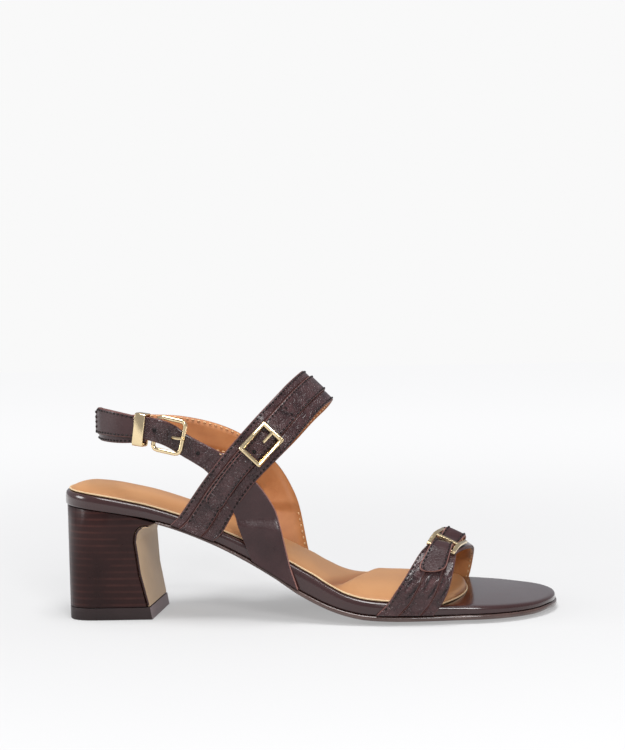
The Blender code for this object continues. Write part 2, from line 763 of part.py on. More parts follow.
def strap_axes(rows, outward, along):
    """A place on a strap's middle line: the point, and the directions along, across and out of it."""
    i = max(0, min(len(rows) - 2, int(along)))
    share = along - i
    ends = [rows[i][k].lerp(rows[i + 1][k], share) for k in (0, -1)]
    middle = ends[0].lerp(ends[1], 0.5)
    before, after = rows[max(i - 1, 0)], rows[min(i + 2, len(rows) - 1)]
    run = (after[0].lerp(after[-1], 0.5) - before[0].lerp(before[-1], 0.5)).normalized()
    across = ends[1] - ends[0]
    across = (across - run * across.dot(run)).normalized()
    out = run.cross(across)
    if out.dot(outward(middle)) < 0:
        out.negate()
    return middle, run, across, out


def along_at(rows, axis, value, first=0, last=None):
    """Where along a strap its middle line first reaches a value of x (axis 0) or z (axis 2)."""
    middles = [row[0].lerp(row[-1], 0.5)[axis] for row in rows]
    for i in range(first, (last or len(rows)) - 1):
        low, high = sorted((middles[i], middles[i + 1]))
        if low <= value <= high and high > low:
            return i + (value - middles[i]) / (middles[i + 1] - middles[i])
    raise ValueError("the strap does not reach this place")


def loop_solid(name, centre, axes, size, wall, depth, corner, material):
    """A flat ring with round corners: size runs along the first two axes, depth along the third."""
    chamfer = wall * 0.25
    section = ((0, -0.5, 1), (0, 0.5, -1), (1, 0.5, 0), (-1, 0.5, 0), (2, 0.5, -1), (2, -0.5, 1), (-1, -0.5, 0), (1, -0.5, 0))
    points, rings = [], []
    for kind, level, step in section:
        shrink = {0: 0.0, 1: chamfer, -1: wall - chamfer, 2: wall}[kind]
        height = level * depth + step * chamfer
        radius = max(corner - shrink, 0.0001)
        ring = []
        for quarter in range(4):
            for k in range(4):
                angle = math.pi / 2 * (quarter + k / 3)
                turn_x, turn_y = math.cos(angle), math.sin(angle)
                sign_x = 1 if quarter in (0, 3) else -1
                sign_y = 1 if quarter in (0, 1) else -1
                a = sign_x * (size[0] / 2 - shrink - radius) + turn_x * radius
                b = sign_y * (size[1] / 2 - shrink - radius) + turn_y * radius
                ring.append(len(points))
                points.append(centre + axes[0] * a + axes[1] * b + axes[2] * height)
        rings.append(ring)
    faces = []
    for lower, upper in zip(rings, rings[1:] + rings[:1]):
        for k in range(len(lower)):
            after = (k + 1) % len(lower)
            faces.append((lower[k], lower[after], upper[after], upper[k]))
    return mesh_object(name, points, faces, material, 60)


def frame_between(first, second, across):
    """Centre and axes of a buckle whose two bars have these centres."""
    run = (second - first).normalized()
    side = (across - run * across.dot(run)).normalized()
    return first.lerp(second, 0.5), (run, side, run.cross(side))


def tab_solid(name, rows, outward, start, end, half_width, base, lifts, material):
    """A strap end that lies on a strap from one place along it to another, with a round end."""
    steps = 16
    points, rings = [], []
    length = (strap_axes(rows, outward, start)[0] - strap_axes(rows, outward, end)[0]).length
    for k in range(steps + 1):
        place = 1 - (1 - k / steps) ** 1.3
        middle, _, across, out = strap_axes(rows, outward, blend(start, end, place))
        round_off = max(0.0, 1 - (1 - place) * length / half_width)
        half = half_width * math.sqrt(max(0.06, 1 - round_off**2))
        low = base + BAR * smooth(lifts, 1, place)
        high = low + TAB_THICK
        ring = []
        for side, height in ((-1, low), (-1, high - TAB_THICK * 0.3), (-0.8, high), (0.8, high), (1, high - TAB_THICK * 0.3), (1, low)):
            ring.append(len(points))
            points.append(middle + across * side * half + out * height)
        rings.append(ring)
    faces = [tuple(rings[0]), tuple(rings[-1])]
    for lower, upper in zip(rings, rings[1:]):
        for k in range(len(lower)):
            after = (k + 1) % len(lower)
            faces.append((lower[k], lower[after], upper[after], upper[k]))
    return mesh_object(name, points, faces, material)


def rod(name, points, radius, material):
    """A round rod along a few points, closed at both ends."""
    curve = bpy.data.curves.new(name, "CURVE")
    curve.dimensions = "3D"
    curve.bevel_depth = radius
    curve.bevel_resolution = 1
    curve.use_fill_caps = True
    line = curve.splines.new("POLY")
    line.points.add(len(points) - 1)
    for spot, point in zip(line.points, points):
        spot.co = (*point, 1.0)
    curve.materials.append(material)
    obj = bpy.data.objects.new(name, curve)
    bpy.context.scene.collection.objects.link(obj)
    return obj


def make_band_buckle(leather, gold):
    """The buckle on the instep band, its prong and the strap end that comes out below it."""
    rows = band_rows()
    half_count = len(rows) // 2
    raised = STRAP_THICK * 1.4 + CLEARANCE
    centre = along_at(rows, 2, BAND_BUCKLE_HEIGHT * INSTEP_HEIGHT, 0, half_count)
    middle, run, across, out = strap_axes(rows, away_from_foot, centre)
    reach = (BAND_BUCKLE_LENGTH - BAR) / 2
    lower = middle - run * reach + out * (raised + TAB_THICK + CLEARANCE + BAR / 2)
    upper = middle + run * reach + out * (raised + BAR / 2)
    place, axes = frame_between(lower, upper, across)
    size = (BAND_BUCKLE_LENGTH, BAND_BUCKLE_WIDTH)
    loop_solid("band_buckle", place, axes, size, BAR, BAR, SHARP_CORNER, gold)
    top = along_at(rows, 2, BAND_TAB_TOP * INSTEP_HEIGHT, 0, half_count)
    end = along_at(rows, 2, BAND_TAB_END * INSTEP_HEIGHT, 0, half_count)
    tab_half = BAND_BUCKLE_WIDTH / 2 - BAR - TAB_MARGIN - CLEARANCE
    tab_solid("band_tab", rows, away_from_foot, top, end, tab_half, raised, BAND_TAB, leather)
    over = BAR / 2 + CLEARANCE + PRONG_RADIUS
    tab_top = raised + TAB_THICK + CLEARANCE + PRONG_RADIUS
    tip = middle + run * reach * 0.15 + out * (tab_top + CLEARANCE)
    bend = middle + run * reach * 0.55 + out * (tab_top + CLEARANCE)
    rod("band_prong", (upper + out * over, upper - run * BAR * 0.7 + out * over, bend, tip), PRONG_RADIUS, gold)


def bar_grid(name, lengths, widths, is_open, place, depth, material):
    """A flat frame of bars: the cells of a grid that are not open, at place(length, width, height)."""
    index, points, faces = {}, [], []
    for i, length in enumerate(lengths):
        for j, width in enumerate(widths):
            for level in (0, 1):
                index[(i, j, level)] = len(points)
                points.append(place(length, width, level * depth))
    rows, columns = len(lengths) - 1, len(widths) - 1

    def solid(i, j):
        return 0 <= i < rows and 0 <= j < columns and not is_open(i, j)

    for i in range(rows):
        for j in range(columns):
            if not solid(i, j):
                continue
            corners = ((i, j), (i + 1, j), (i + 1, j + 1), (i, j + 1))
            beyond = ((i, j - 1), (i + 1, j), (i, j + 1), (i - 1, j))
            faces.append(tuple(index[(*corner, 1)] for corner in corners))
            faces.append(tuple(index[(*corner, 0)] for corner in reversed(corners)))
            for k in range(4):
                a, b = corners[k], corners[(k + 1) % 4]
                if not solid(*beyond[k]):
                    faces.append((index[(*a, 0)], index[(*b, 0)], index[(*b, 1)], index[(*a, 1)]))
    return mesh_object(name, points, faces, material, 60)


def make_vamp_buckle(leather, gold):
    """The three-bar buckle near the crest of the vamp strap, and the strap end that runs through it."""
    rows = vamp_rows()
    first, last = len(rows) // 4, len(rows) // 2 + 3
    half = -BALL_WIDTH / 2
    raised = VAMP_THICK * 1.3 + CLEARANCE
    bars = [along_at(rows, 1, half * share, first, last) for share in (VAMP_LOWER_BAR, VAMP_MIDDLE_BAR, VAMP_FAR_BAR)]
    step = (strap_axes(rows, above_toes, bars[0])[0] - strap_axes(rows, above_toes, bars[2])[0]).length
    bar = BAR / step * (bars[2] - bars[0]) / 2
    lengths = [bars[0] - bar, bars[0] + bar]
    lengths += [blend(bars[0] + bar, bars[1] - bar, 0.5), bars[1] - bar, bars[1] + bar]
    lengths += [blend(bars[1] + bar, bars[2] - bar, k / 3) for k in (1, 2)] + [bars[2] - bar, bars[2] + bar]
    inner = VAMP_BUCKLE_WIDTH / 2 - BAR
    widths = (-VAMP_BUCKLE_WIDTH / 2, -inner, inner, VAMP_BUCKLE_WIDTH / 2)
    crest = TAB_THICK + CLEARANCE

    def place(length, width, height):
        middle, _, across, out = strap_axes(rows, above_toes, length)
        if length < bars[1]:
            lift = max(0.0, (length - bars[0] - bar) / (bars[1] - bars[0] - 2 * bar))
        else:
            lift = min(1.0, (bars[2] - bar - length) / (bars[2] - bars[1] - 2 * bar))
        return middle + across * width + out * (raised + crest * max(0.0, min(1.0, lift)) + height)

    bar_grid("vamp_buckle", lengths, widths, lambda i, j: j == 1 and i not in (0, 3, 7), place, BAR * 0.8, gold)
    tab_half = VAMP_BUCKLE_WIDTH / 2 - BAR - TAB_MARGIN - CLEARANCE
    start = along_at(rows, 1, half * VAMP_TAB_TOP, first, last)
    end = along_at(rows, 1, half * VAMP_TAB_END, first, last)
    tab_solid("vamp_tab", rows, above_toes, start, end, tab_half, raised, VAMP_TAB, leather)


def make_sling_buckle(gold):
    """The working buckle of the sling: frame, prong, and the keeper round billet and heel strap."""
    rows = lateral_rows()
    wall = SLING_INSET + SLING_THICK
    centre_x = x_at(SLING_BUCKLE_STATION)
    tilt = math.radians(SLING_BUCKLE_TILT)
    reach = (SLING_BUCKLE_LENGTH - BAR) / 2
    front = along_at(rows, 0, centre_x + reach * math.cos(tilt), len(rows) // 2 - 3)
    back = along_at(rows, 0, centre_x - reach * math.cos(tilt), len(rows) // 2 - 3)
    front_middle, _, _, front_out = strap_axes(rows, away_from_foot, front)
    back_middle, _, _, back_out = strap_axes(rows, away_from_foot, back)
    over_strap = front_middle + front_out * (wall + CLEARANCE + BAR / 2)
    under_strap = back_middle + back_out * (SLING_INSET - CLEARANCE - BAR / 2)
    level = SLING_BUCKLE_HEIGHT * INSTEP_HEIGHT
    over_strap.z = level - reach * math.sin(tilt)
    under_strap.z = level + reach * math.sin(tilt)
    place, axes = frame_between(over_strap, under_strap, Vector((math.sin(tilt), 0.0, math.cos(tilt))))
    size = ((under_strap - over_strap).length + BAR, SLING_BUCKLE_WIDTH)
    loop_solid("sling_buckle", place, axes, size, BAR, BAR, ROUND_CORNER, gold)
    spot, _, _, out = strap_axes(rows, away_from_foot, blend(front, back, 0.45))
    lift = wall + CLEARANCE + PRONG_RADIUS
    prong_top = over_strap + front_out * (BAR / 2 + CLEARANCE + PRONG_RADIUS)
    half_way = spot.lerp(prong_top, 0.5) + out * lift * 0.75
    ahead = prong_top + (prong_top - spot).normalized() * BAR / 2
    rod("sling_prong", (spot + out * lift, half_way, prong_top, ahead), PRONG_RADIUS, gold)
    ring = along_at(rows, 0, x_at(KEEPER_STATION), len(rows) // 2)
    middle, run, across, out = strap_axes(rows, away_from_foot, ring)
    lap = SLING_THICK + CLEARANCE * 2
    thick = lap + wall + CLEARANCE * 3 + KEEPER_WALL * 2
    low = HEEL_TURN[-1][1] * INSTEP_HEIGHT
    high = BILLET_TURN[0][2] * INSTEP_HEIGHT
    tall = high - low + CLEARANCE * 4 + KEEPER_WALL * 2
    centre = middle + out * ((wall - lap) / 2)
    centre.z = (low + high) / 2
    loop_solid("sling_keeper", centre, (across, out, run), (tall, thick), KEEPER_WALL, KEEPER_LENGTH, KEEPER_CORNER, gold)


def main():
    clear_scene()
    leather = finish("dark_leather", (0.055, 0.030, 0.030), 0.35)
    sock = finish("tan_leather", (0.55, 0.30, 0.15), 0.5)
    sole = finish("sole_leather", (0.16, 0.10, 0.08), 0.45)
    stack = finish("stacked_leather", (0.035, 0.015, 0.013), 0.4)
    cover = finish("cover_leather", (0.52, 0.35, 0.22), 0.55)
    rubber = finish("lift_rubber", (0.09, 0.07, 0.07), 0.6)
    gold = finish("gold_metal", (0.78, 0.62, 0.33), 0.22, 1.0)
    make_outsole(sole)
    make_platform(leather)
    make_insole(sock)
    make_heel_block(stack)
    make_breast_cover(cover)
    make_heel_lift(rubber)
    make_rear_upper(leather)
    make_vamp_strap(leather)
    make_band_buckle(leather, gold)
    make_vamp_buckle(leather, gold)
    make_sling_buckle(gold)


if __name__ == "__main__":
    main()
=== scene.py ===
"""Block heel sandal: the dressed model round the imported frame, on a pale floor."""

import logging
import math
from bisect import bisect_right
from dataclasses import dataclass, field
from enum import Enum
from typing import Callable, Sequence

import bmesh
import bpy
from mathutils import Matrix, Vector


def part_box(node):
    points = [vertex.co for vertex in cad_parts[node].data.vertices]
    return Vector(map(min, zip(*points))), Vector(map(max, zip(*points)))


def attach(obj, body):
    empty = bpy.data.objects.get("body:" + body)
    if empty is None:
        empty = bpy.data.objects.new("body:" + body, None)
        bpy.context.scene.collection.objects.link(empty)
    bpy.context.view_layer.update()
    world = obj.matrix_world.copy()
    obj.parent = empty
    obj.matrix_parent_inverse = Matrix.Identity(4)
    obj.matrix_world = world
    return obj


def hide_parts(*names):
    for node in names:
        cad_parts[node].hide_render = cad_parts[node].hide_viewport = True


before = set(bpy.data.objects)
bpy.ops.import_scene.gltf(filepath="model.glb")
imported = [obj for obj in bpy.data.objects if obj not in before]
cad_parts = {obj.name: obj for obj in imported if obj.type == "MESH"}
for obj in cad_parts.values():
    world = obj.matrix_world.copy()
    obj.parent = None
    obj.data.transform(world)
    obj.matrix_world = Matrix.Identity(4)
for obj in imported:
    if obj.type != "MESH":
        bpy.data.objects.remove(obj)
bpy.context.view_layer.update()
LOG = logging.getLogger("sandal")

Row = tuple[float, ...]
Table = tuple[Row, ...]
Height = Callable[[float, float], float]

# Sizes of the shoe, as the frame has them, in metres.
LENGTH = 0.232
BALL_WIDTH = 0.0824
HEEL_OVERHANG = LENGTH * 0.0948
HEEL_RISE = 0.0532
RAND_HEIGHT = 0.0070
OUTSOLE_THICK = 0.0028
OUTSOLE_WELT = 0.0007
INSOLE_THICK = 0.0036
INSOLE_MARGIN = 0.0024
INSTEP_HEIGHT = 0.1127
INSTEP_WIDTH = 0.064
STRAP_THICK = 0.0020
VAMP_THICK = 0.0017
SLING_THICK = 0.0016
SLING_INSET = 0.0002
SLING_REACH = LENGTH * 0.1198
SLING_TURN_X = LENGTH * 0.1034
SLING_WIDTH = INSTEP_WIDTH * 0.922
BAR = 0.0019
TAB_THICK = 0.0014
CLEARANCE = 0.0003
TREAD_RISE = 0.0016
TREAD_FLAT = 0.45
TREAD_START = 0.46
TOE_TIP_SHIFT = 0.003
TREAD_FADE = 6
TREAD_CURVE = 1.5
OUTSOLE_FOLLOW = 0.55
HEEL_END = 0.112
HEEL_POWER = 2.2
TOE_START = 0.800
OUTSOLE_START = 0.196
FINE_ROWS = 6
FOOT_SIDE = 0.7
BAND_TAB_RISE = STRAP_THICK * 1.4 + CLEARANCE
VAMP_TAB_RISE = VAMP_THICK * 1.3 + CLEARANCE

# Distances in metres under which points count as one, and the digits that tell points apart.
WELD = 1e-7
CAD_WELD = 2e-5
TINY = 1e-9
DIGITS = 7
MILLIMETRE = 0.001

# Side of the sole. Columns: station along the length, underside as a share of the heel rise,
# outsole as a share of its thickness, rand as a share of its height.
PROFILE = (
    (0.000, 1.000, 0.00, 0.97),
    (0.065, 0.970, 0.00, 0.94),
    (0.125, 0.932, 0.00, 0.87),
    (0.181, 0.868, 0.36, 0.78),
    (0.224, 0.812, 0.43, 0.74),
    (0.302, 0.677, 0.50, 0.82),
    (0.364, 0.541, 0.57, 0.95),
    (0.427, 0.380, 0.64, 1.15),
    (0.474, 0.242, 0.71, 1.42),
    (0.500, 0.177, 0.79, 1.42),
    (0.530, 0.113, 0.82, 1.28),
    (0.567, 0.055, 0.90, 1.07),
    (0.603, 0.019, 0.96, 1.00),
    (0.642, 0.004, 1.00, 0.96),
    (0.677, 0.000, 1.00, 0.90),
    (0.741, 0.000, 1.00, 0.76),
    (0.862, 0.000, 1.00, 0.58),
    (0.930, 0.000, 1.00, 0.50),
    (1.000, 0.024, 0.90, 0.43),
)

# Plan of the sole between its round ends. Columns: station, lateral and medial edge as shares of
# the ball width.
OUTLINE = (
    (0.112, 0.309, 0.309),
    (0.181, 0.313, 0.303),
    (0.224, 0.316, 0.291),
    (0.302, 0.328, 0.267),
    (0.364, 0.343, 0.255),
    (0.427, 0.370, 0.265),
    (0.500, 0.419, 0.309),
    (0.567, 0.471, 0.382),
    (0.642, 0.500, 0.455),
    (0.698, 0.500, 0.491),
    (0.741, 0.493, 0.500),
    (0.800, 0.479, 0.489),
)

# Padding of the insole. Columns: place along the sock, with its crease at 0, and the crown at its
# middle as a share of the insole's thickness.
PADDING = (
    (-1.00, 0.75),
    (-0.80, 1.00),
    (-0.45, 0.90),
    (-0.12, 0.80),
    (-0.03, 0.45),
    (0.03, 0.55),
    (0.12, 1.45),
    (0.45, 1.45),
    (1.00, 0.55),
)
CREASE_LATERAL = 0.525
CREASE_MEDIAL = 0.650
SOCK_FRONT_LATERAL = 0.757
SOCK_FRONT_MEDIAL = 0.812
SOCK_FRONT_BOW = 0.010

# Instep band from the lateral side of the rand to its crest. Columns: back edge's station and
# height, front edge's station and height, distance out from the middle. Stations are shares of the
# length, heights of the instep height and distances of half the instep width.
INSTEP_BAND = (
    (0.288, 0.572, 0.360, 0.482, 0.940),
    (0.336, 0.696, 0.394, 0.574, 1.000),
    (0.391, 0.822, 0.451, 0.692, 0.955),
    (0.428, 0.900, 0.488, 0.776, 0.780),
    (0.457, 0.959, 0.517, 0.838, 0.490),
    (0.478, 1.000, 0.539, 0.877, 0.000),
)
BAND_SEATS = ((0.224, 0.309), (0.240, 0.326))
BAND_MEDIAL_LEAD = 0.018

# Quarter from the rand to the place where it goes under the instep band, in the band's columns.
LATERAL_QUARTER = (
    (0.355, 0.413, 0.439, 0.404, 0.960),
    (0.353, 0.430, 0.428, 0.470, 0.975),
    (0.350, 0.446, 0.399, 0.561, 0.985),
    (0.320, 0.540, 0.364, 0.628, 1.000),
    (0.299, 0.616, 0.334, 0.684, 0.995),
)
LATERAL_SEATS = ((0.384, 0.474), (0.371, 0.458))
MEDIAL_QUARTER = (
    (0.394, 0.413, 0.475, 0.412, 0.900),
    (0.391, 0.440, 0.457, 0.504, 0.950),
    (0.388, 0.464, 0.432, 0.587, 0.985),
    (0.358, 0.550, 0.396, 0.660, 1.000),
    (0.328, 0.630, 0.353, 0.728, 0.985),
)
MEDIAL_SEATS = ((0.423, 0.512), (0.410, 0.496))

# Sling from the crossing back to the heel. Columns: lower edge's station and height, upper edge's
# station and height, distance out, all as in the instep band.
LATERAL_SLING = (
    (0.247, 0.688, 0.264, 0.766, 0.965),
    (0.222, 0.720, 0.238, 0.806, 0.968),
    (0.196, 0.744, 0.206, 0.836, 1.040),
)
MEDIAL_SLING = (
    (0.282, 0.660, 0.299, 0.778, 0.955),
    (0.224, 0.702, 0.233, 0.811, 0.930),
)
# Round the back of the heel. Columns: angle from straight back, lower and upper edge as shares of
# the instep height. The billet laps over the heel strap on the lateral side.
HEEL_TURN = (
    (80, 0.735, 0.822),
    (55, 0.738, 0.825),
    (28, 0.740, 0.828),
    (0, 0.740, 0.829),
    (-28, 0.738, 0.827),
    (-55, 0.735, 0.823),
    (-76, 0.737, 0.818),
)
HEEL_STRAP_END = (0.181, 0.739, 0.184, 0.819, 0.925)
BILLET_TURN = (
    (-78, 0.757, 0.846),
    (-58, 0.763, 0.864),
    (-38, 0.767, 0.875),
    (-29, 0.768, 0.876),
    (-24, 0.774, 0.846),
)

# Vamp strap from the lateral side of the rand over the toes. Columns as in the instep band, with
# distances as shares of half the ball width.
VAMP = (
    (0.661, 0.138, 0.760, 0.129, -1.030),
    (0.678, 0.184, 0.770, 0.182, -1.005),
    (0.709, 0.268, 0.780, 0.243, -0.845),
    (0.731, 0.298, 0.785, 0.257, -0.640),
    (0.748, 0.319, 0.809, 0.260, -0.340),
    (0.763, 0.323, 0.826, 0.245, 0.000),
    (0.776, 0.309, 0.836, 0.226, 0.370),
    (0.778, 0.268, 0.847, 0.194, 0.690),
    (0.766, 0.178, 0.851, 0.142, 0.925),
)
VAMP_LATERAL_SEATS = ((0.623, 0.733), (0.645, 0.746))
VAMP_MEDIAL_SEATS = ((0.742, 0.836), (0.753, 0.843))

# Strips across a strap's width. Columns: share of the width where the strip starts and ends, height
# of its face at its back and at its front edge as shares of the strap's thickness.
BAND_STRIPS = (
    (0.000, 0.208, 0.96, 0.98),
    (0.706, 1.000, 0.98, 0.94),
    (0.214, 0.700, 1.38, 1.38),
)
VAMP_STRIPS = (
    (0.775, 1.000, 0.88, 0.98),
    (0.395, 0.765, 0.88, 1.28),
    (0.000, 0.385, 0.82, 1.18),
)

# Soft troughs and ridges in the straps, placed one by one. Columns: place along the strap as a share,
# place across it, half length in millimetres, half width in millimetres, turn from the strap's run
# in degrees, depth in millimetres.
BAND_CREASES = (
    (0.335, 0.36, 4.5, 1.0, 80, -0.28),
    (0.345, 0.55, 3.5, 0.8, 60, -0.20),
    (0.090, 0.45, 8.0, 2.0, 15, -0.22),
    (0.050, 0.80, 7.0, 1.6, 30, 0.18),
    (0.400, 0.40, 6.0, 1.4, 75, -0.16),
    (0.440, 0.60, 6.5, 1.8, 70, 0.14),
)
LATERAL_CREASES = (
    (0.120, 0.45, 11.0, 4.0, 12, -0.14),
    (0.240, 0.30, 11.0, 2.5, 5, 0.12),
    (0.560, 0.40, 5.0, 1.0, 55, -0.14),
    (0.590, 0.60, 4.0, 0.9, 65, 0.12),
    (0.660, 0.45, 3.8, 1.0, 70, -0.32),
    (0.690, 0.62, 3.4, 0.8, 80, 0.24),
    (0.705, 0.35, 3.0, 0.8, 60, -0.24),
)
MEDIAL_CREASES = (
    (0.150, 0.50, 12.0, 4.0, 8, 0.30),
    (0.450, 0.50, 10.0, 3.0, 20, -0.20),
    (0.750, 0.50, 9.0, 2.5, 10, -0.16),
)
VAMP_CREASES = (
    (0.105, 0.33, 3.6, 0.55, 14, -0.34),
    (0.120, 0.26, 3.0, 0.60, 24, 0.30),
    (0.135, 0.16, 3.2, 0.60, 8, -0.30),
    (0.110, 0.08, 2.6, 0.55, 30, 0.24),
    (0.108, 0.70, 3.4, 0.55, 12, -0.34),
    (0.125, 0.62, 3.0, 0.60, 26, 0.32),
    (0.138, 0.52, 3.2, 0.60, 4, -0.30),
    (0.115, 0.45, 2.4, 0.55, 32, 0.24),
    (0.112, 0.94, 3.0, 0.50, 10, -0.28),
    (0.130, 0.87, 2.8, 0.55, 22, 0.28),
    (0.145, 0.80, 2.6, 0.55, 2, -0.24),
    (0.170, 0.90, 4.0, 0.80, 16, 0.16),
    (0.180, 0.12, 4.5, 0.80, 12, -0.18),
    (0.215, 0.14, 4.0, 0.90, 20, 0.16),
)


class Side(Enum):
    """The two sides of the right shoe, as signs of y."""

    LATERAL = -1
    MEDIAL = 1


class End(Enum):
    """How the end of a sole sheet is shaped in plan."""

    STRAIGHT = "straight"
    HEEL = "heel"
    TOE = "toe"
    SOCK = "sock"


class Skin(Enum):
    """The faces of a leather piece, as its material slots."""

    OUTSIDE = 0
    INSIDE = 1
    EDGE = 2
    FRONT = 3


def mix(a: float, b: float, share: float) -> float:
    """The value a share of the way from a to b."""
    return a + (b - a) * share


def smooth(table: Table, column: int, at: float) -> float:
    """Reads a table on a curve that never overshoots its rows.

    Args:
        table: Rows sorted by their first column.
        column: The column to read.
        at: The place in the first column.

    Returns:
        The value there.
    """
    places = [row[0] for row in table]
    values = [row[column] for row in table]
    if at <= places[0]:
        return values[0]
    if at >= places[-1]:
        return values[-1]
    steps = [places[i + 1] - places[i] for i in range(len(places) - 1)]
    rises = [(values[i + 1] - values[i]) / steps[i] for i in range(len(steps))]
    slopes = [rises[0]]
    for before, after in zip(rises, rises[1:]):
        slopes.append(0.0 if before * after <= 0 else 2 * before * after / (before + after))
    slopes.append(rises[-1])
    i = max(k for k in range(len(steps)) if places[k] <= at)
    t = (at - places[i]) / steps[i]
    start = values[i] * (1 + 2 * t) * (1 - t) ** 2 + slopes[i] * steps[i] * t * (1 - t) ** 2
    end = values[i + 1] * t * t * (3 - 2 * t) + slopes[i + 1] * steps[i] * t * t * (t - 1)
    return start + end


def x_at(station: float) -> float:
    """The x of a station along the shoe."""
    return station * LENGTH - HEEL_OVERHANG


def station_at(x: float) -> float:
    """The station of an x along the shoe."""
    return (x + HEEL_OVERHANG) / LENGTH


def edge_y(x: float, side: Side) -> float:
    """The sole's edge on one side.

    Args:
        x: Place along the shoe.
        side: Which edge.

    Returns:
        The edge's y.
    """
    column = 1 if side is Side.LATERAL else 2
    station = station_at(x)
    if station < HEEL_END:
        reach = min(1.0, (HEEL_END - station) / HEEL_END)
        bow = (1 - reach**HEEL_POWER) ** (1 / HEEL_POWER)
        return side.value * BALL_WIDTH * OUTLINE[0][column] * bow
    if station > TOE_START:
        reach = min(1.0, (station - TOE_START) / (1 - TOE_START))
        wide = side.value * BALL_WIDTH * OUTLINE[-1][column]
        return TOE_TIP_SHIFT + (wide - TOE_TIP_SHIFT) * math.sqrt(1 - reach**2)
    return side.value * BALL_WIDTH * smooth(OUTLINE, column, station)


def tread_rise(x: float, y: float) -> float:
    """How far the tread curves up toward its edges.

    Args:
        x: Place along the shoe.
        y: Place across it.

    Returns:
        The rise in metres.
    """
    side = Side.LATERAL if y < 0 else Side.MEDIAL
    reach = min(1.0, abs(y) / max(abs(edge_y(x, side)), BALL_WIDTH * TREAD_FLAT / 2))
    fade = max(0.0, min(1.0, (station_at(x) - TREAD_START) * TREAD_FADE))
    return TREAD_RISE * fade * max(0.0, (reach - TREAD_FLAT) / (1 - TREAD_FLAT)) ** TREAD_CURVE


def underside(x: float, y: float = 0.0) -> float:
    """The bottom of the sole at a place in plan."""
    return HEEL_RISE * smooth(PROFILE, 1, station_at(x)) + tread_rise(x, y)


def outsole_top(x: float, y: float = 0.0) -> float:
    """The top of the thin sole sheet.

    Args:
        x: Place along the shoe.
        y: Place across it.

    Returns:
        The height in metres.
    """
    bottom = HEEL_RISE * smooth(PROFILE, 1, station_at(x))
    follow = tread_rise(x, y) * OUTSOLE_FOLLOW
    return bottom + OUTSOLE_THICK * smooth(PROFILE, 2, station_at(x)) + follow


def rand_bottom(x: float, y: float = 0.0) -> float:
    """The bottom of the leather-wrapped platform at a place in plan."""
    return outsole_top(x, y) + CLEARANCE


def rand_top(x: float, y: float = 0.0) -> float:
    """The top edge of the platform, the same right across the shoe."""
    return rand_bottom(x) + RAND_HEIGHT * smooth(PROFILE, 3, station_at(x))


def refine(rows: Sequence[tuple[Vector, Vector]], steps: int) -> list[tuple[Vector, Vector]]:
    """Puts rows on a smooth curve through the given ones.

    Args:
        rows: Pairs of a strap's back and front edge points.
        steps: Fine rows for each given one.

    Returns:
        The fine pairs.
    """
    fine = []
    for i in range(len(rows) - 1):
        for step in range(steps):
            t = step / steps
            pair = []
            for j in (0, 1):
                a, b = rows[max(i - 1, 0)][j], rows[i][j]
                c, d = rows[i + 1][j], rows[min(i + 2, len(rows) - 1)][j]
                span = (c - b).length
                start = (c - a) * (span / max(span + (b - a).length, TINY))
                end = (d - b) * (span / max((d - c).length + span, TINY))
                point = b * (1 + 2 * t) * (1 - t) ** 2 + start * t * (1 - t) ** 2
                pair.append(point + c * t * t * (3 - 2 * t) + end * t * t * (t - 1))
            fine.append((pair[0], pair[1]))
    return fine + [tuple(rows[-1])]


def linked(name: str, data: bpy.types.ID) -> bpy.types.Object:
    """Makes an object of a mesh, a lamp or a camera and links it to the scene.

    Args:
        name: The object's name.
        data: Its mesh, lamp or camera.

    Returns:
        The object.
    """
    obj = bpy.data.objects.new(name, data)
    bpy.context.scene.collection.objects.link(obj)
    return obj


def solid(
    name: str, points: Sequence[Vector], faces: Sequence[tuple[int, ...]], slots: Sequence[int] = ()
) -> bpy.types.Object:
    """Makes a closed mesh object with its faces outwards.

    Args:
        name: The piece's name.
        points: Its points.
        faces: Index tuples.
        slots: Material slot of each face, or nothing for slot 0.

    Returns:
        The object, linked to the scene.
    """
    mesh = bpy.data.meshes.new(name)
    form = bmesh.new()
    verts = [form.verts.new(point) for point in points]
    for k, face in enumerate(faces):
        made = form.faces.new([verts[i] for i in face])
        made.smooth = True
        made.material_index = slots[k] if slots else 0
    bmesh.ops.remove_doubles(form, verts=form.verts, dist=WELD)
    bmesh.ops.recalc_face_normals(form, faces=form.faces)
    form.to_mesh(mesh)
    form.free()
    return linked(name, mesh)


def tube(name: str, line: Sequence[Vector], radius: float, closed: bool) -> bpy.types.Object:
    """Makes a round tube along a line of points.

    Args:
        name: The piece's name.
        line: The points of its middle line.
        radius: Its radius.
        closed: Whether the end joins the start.

    Returns:
        The object.
    """
    sides = 8
    points, rings = [], []
    count = len(line)
    for k, point in enumerate(line):
        before = line[k - 1] if closed or k else line[k]
        after = line[(k + 1) % count] if closed or k < count - 1 else line[k]
        run = (after - before).normalized()
        across = run.cross(Vector((0, 0, 1))).normalized()
        up = across.cross(run)
        rings.append([len(points) + s for s in range(sides)])
        for s in range(sides):
            turn = 2 * math.pi * s / sides
            points.append(point + (across * math.cos(turn) + up * math.sin(turn)) * radius)
    faces = [] if closed else [tuple(rings[0]), tuple(rings[-1])]
    for k in range(count if closed else count - 1):
        lower, upper = rings[k], rings[(k + 1) % count]
        faces += [(lower[s], lower[(s + 1) % sides], upper[(s + 1) % sides], upper[s]) for s in range(sides)]
    return solid(name, points, faces)


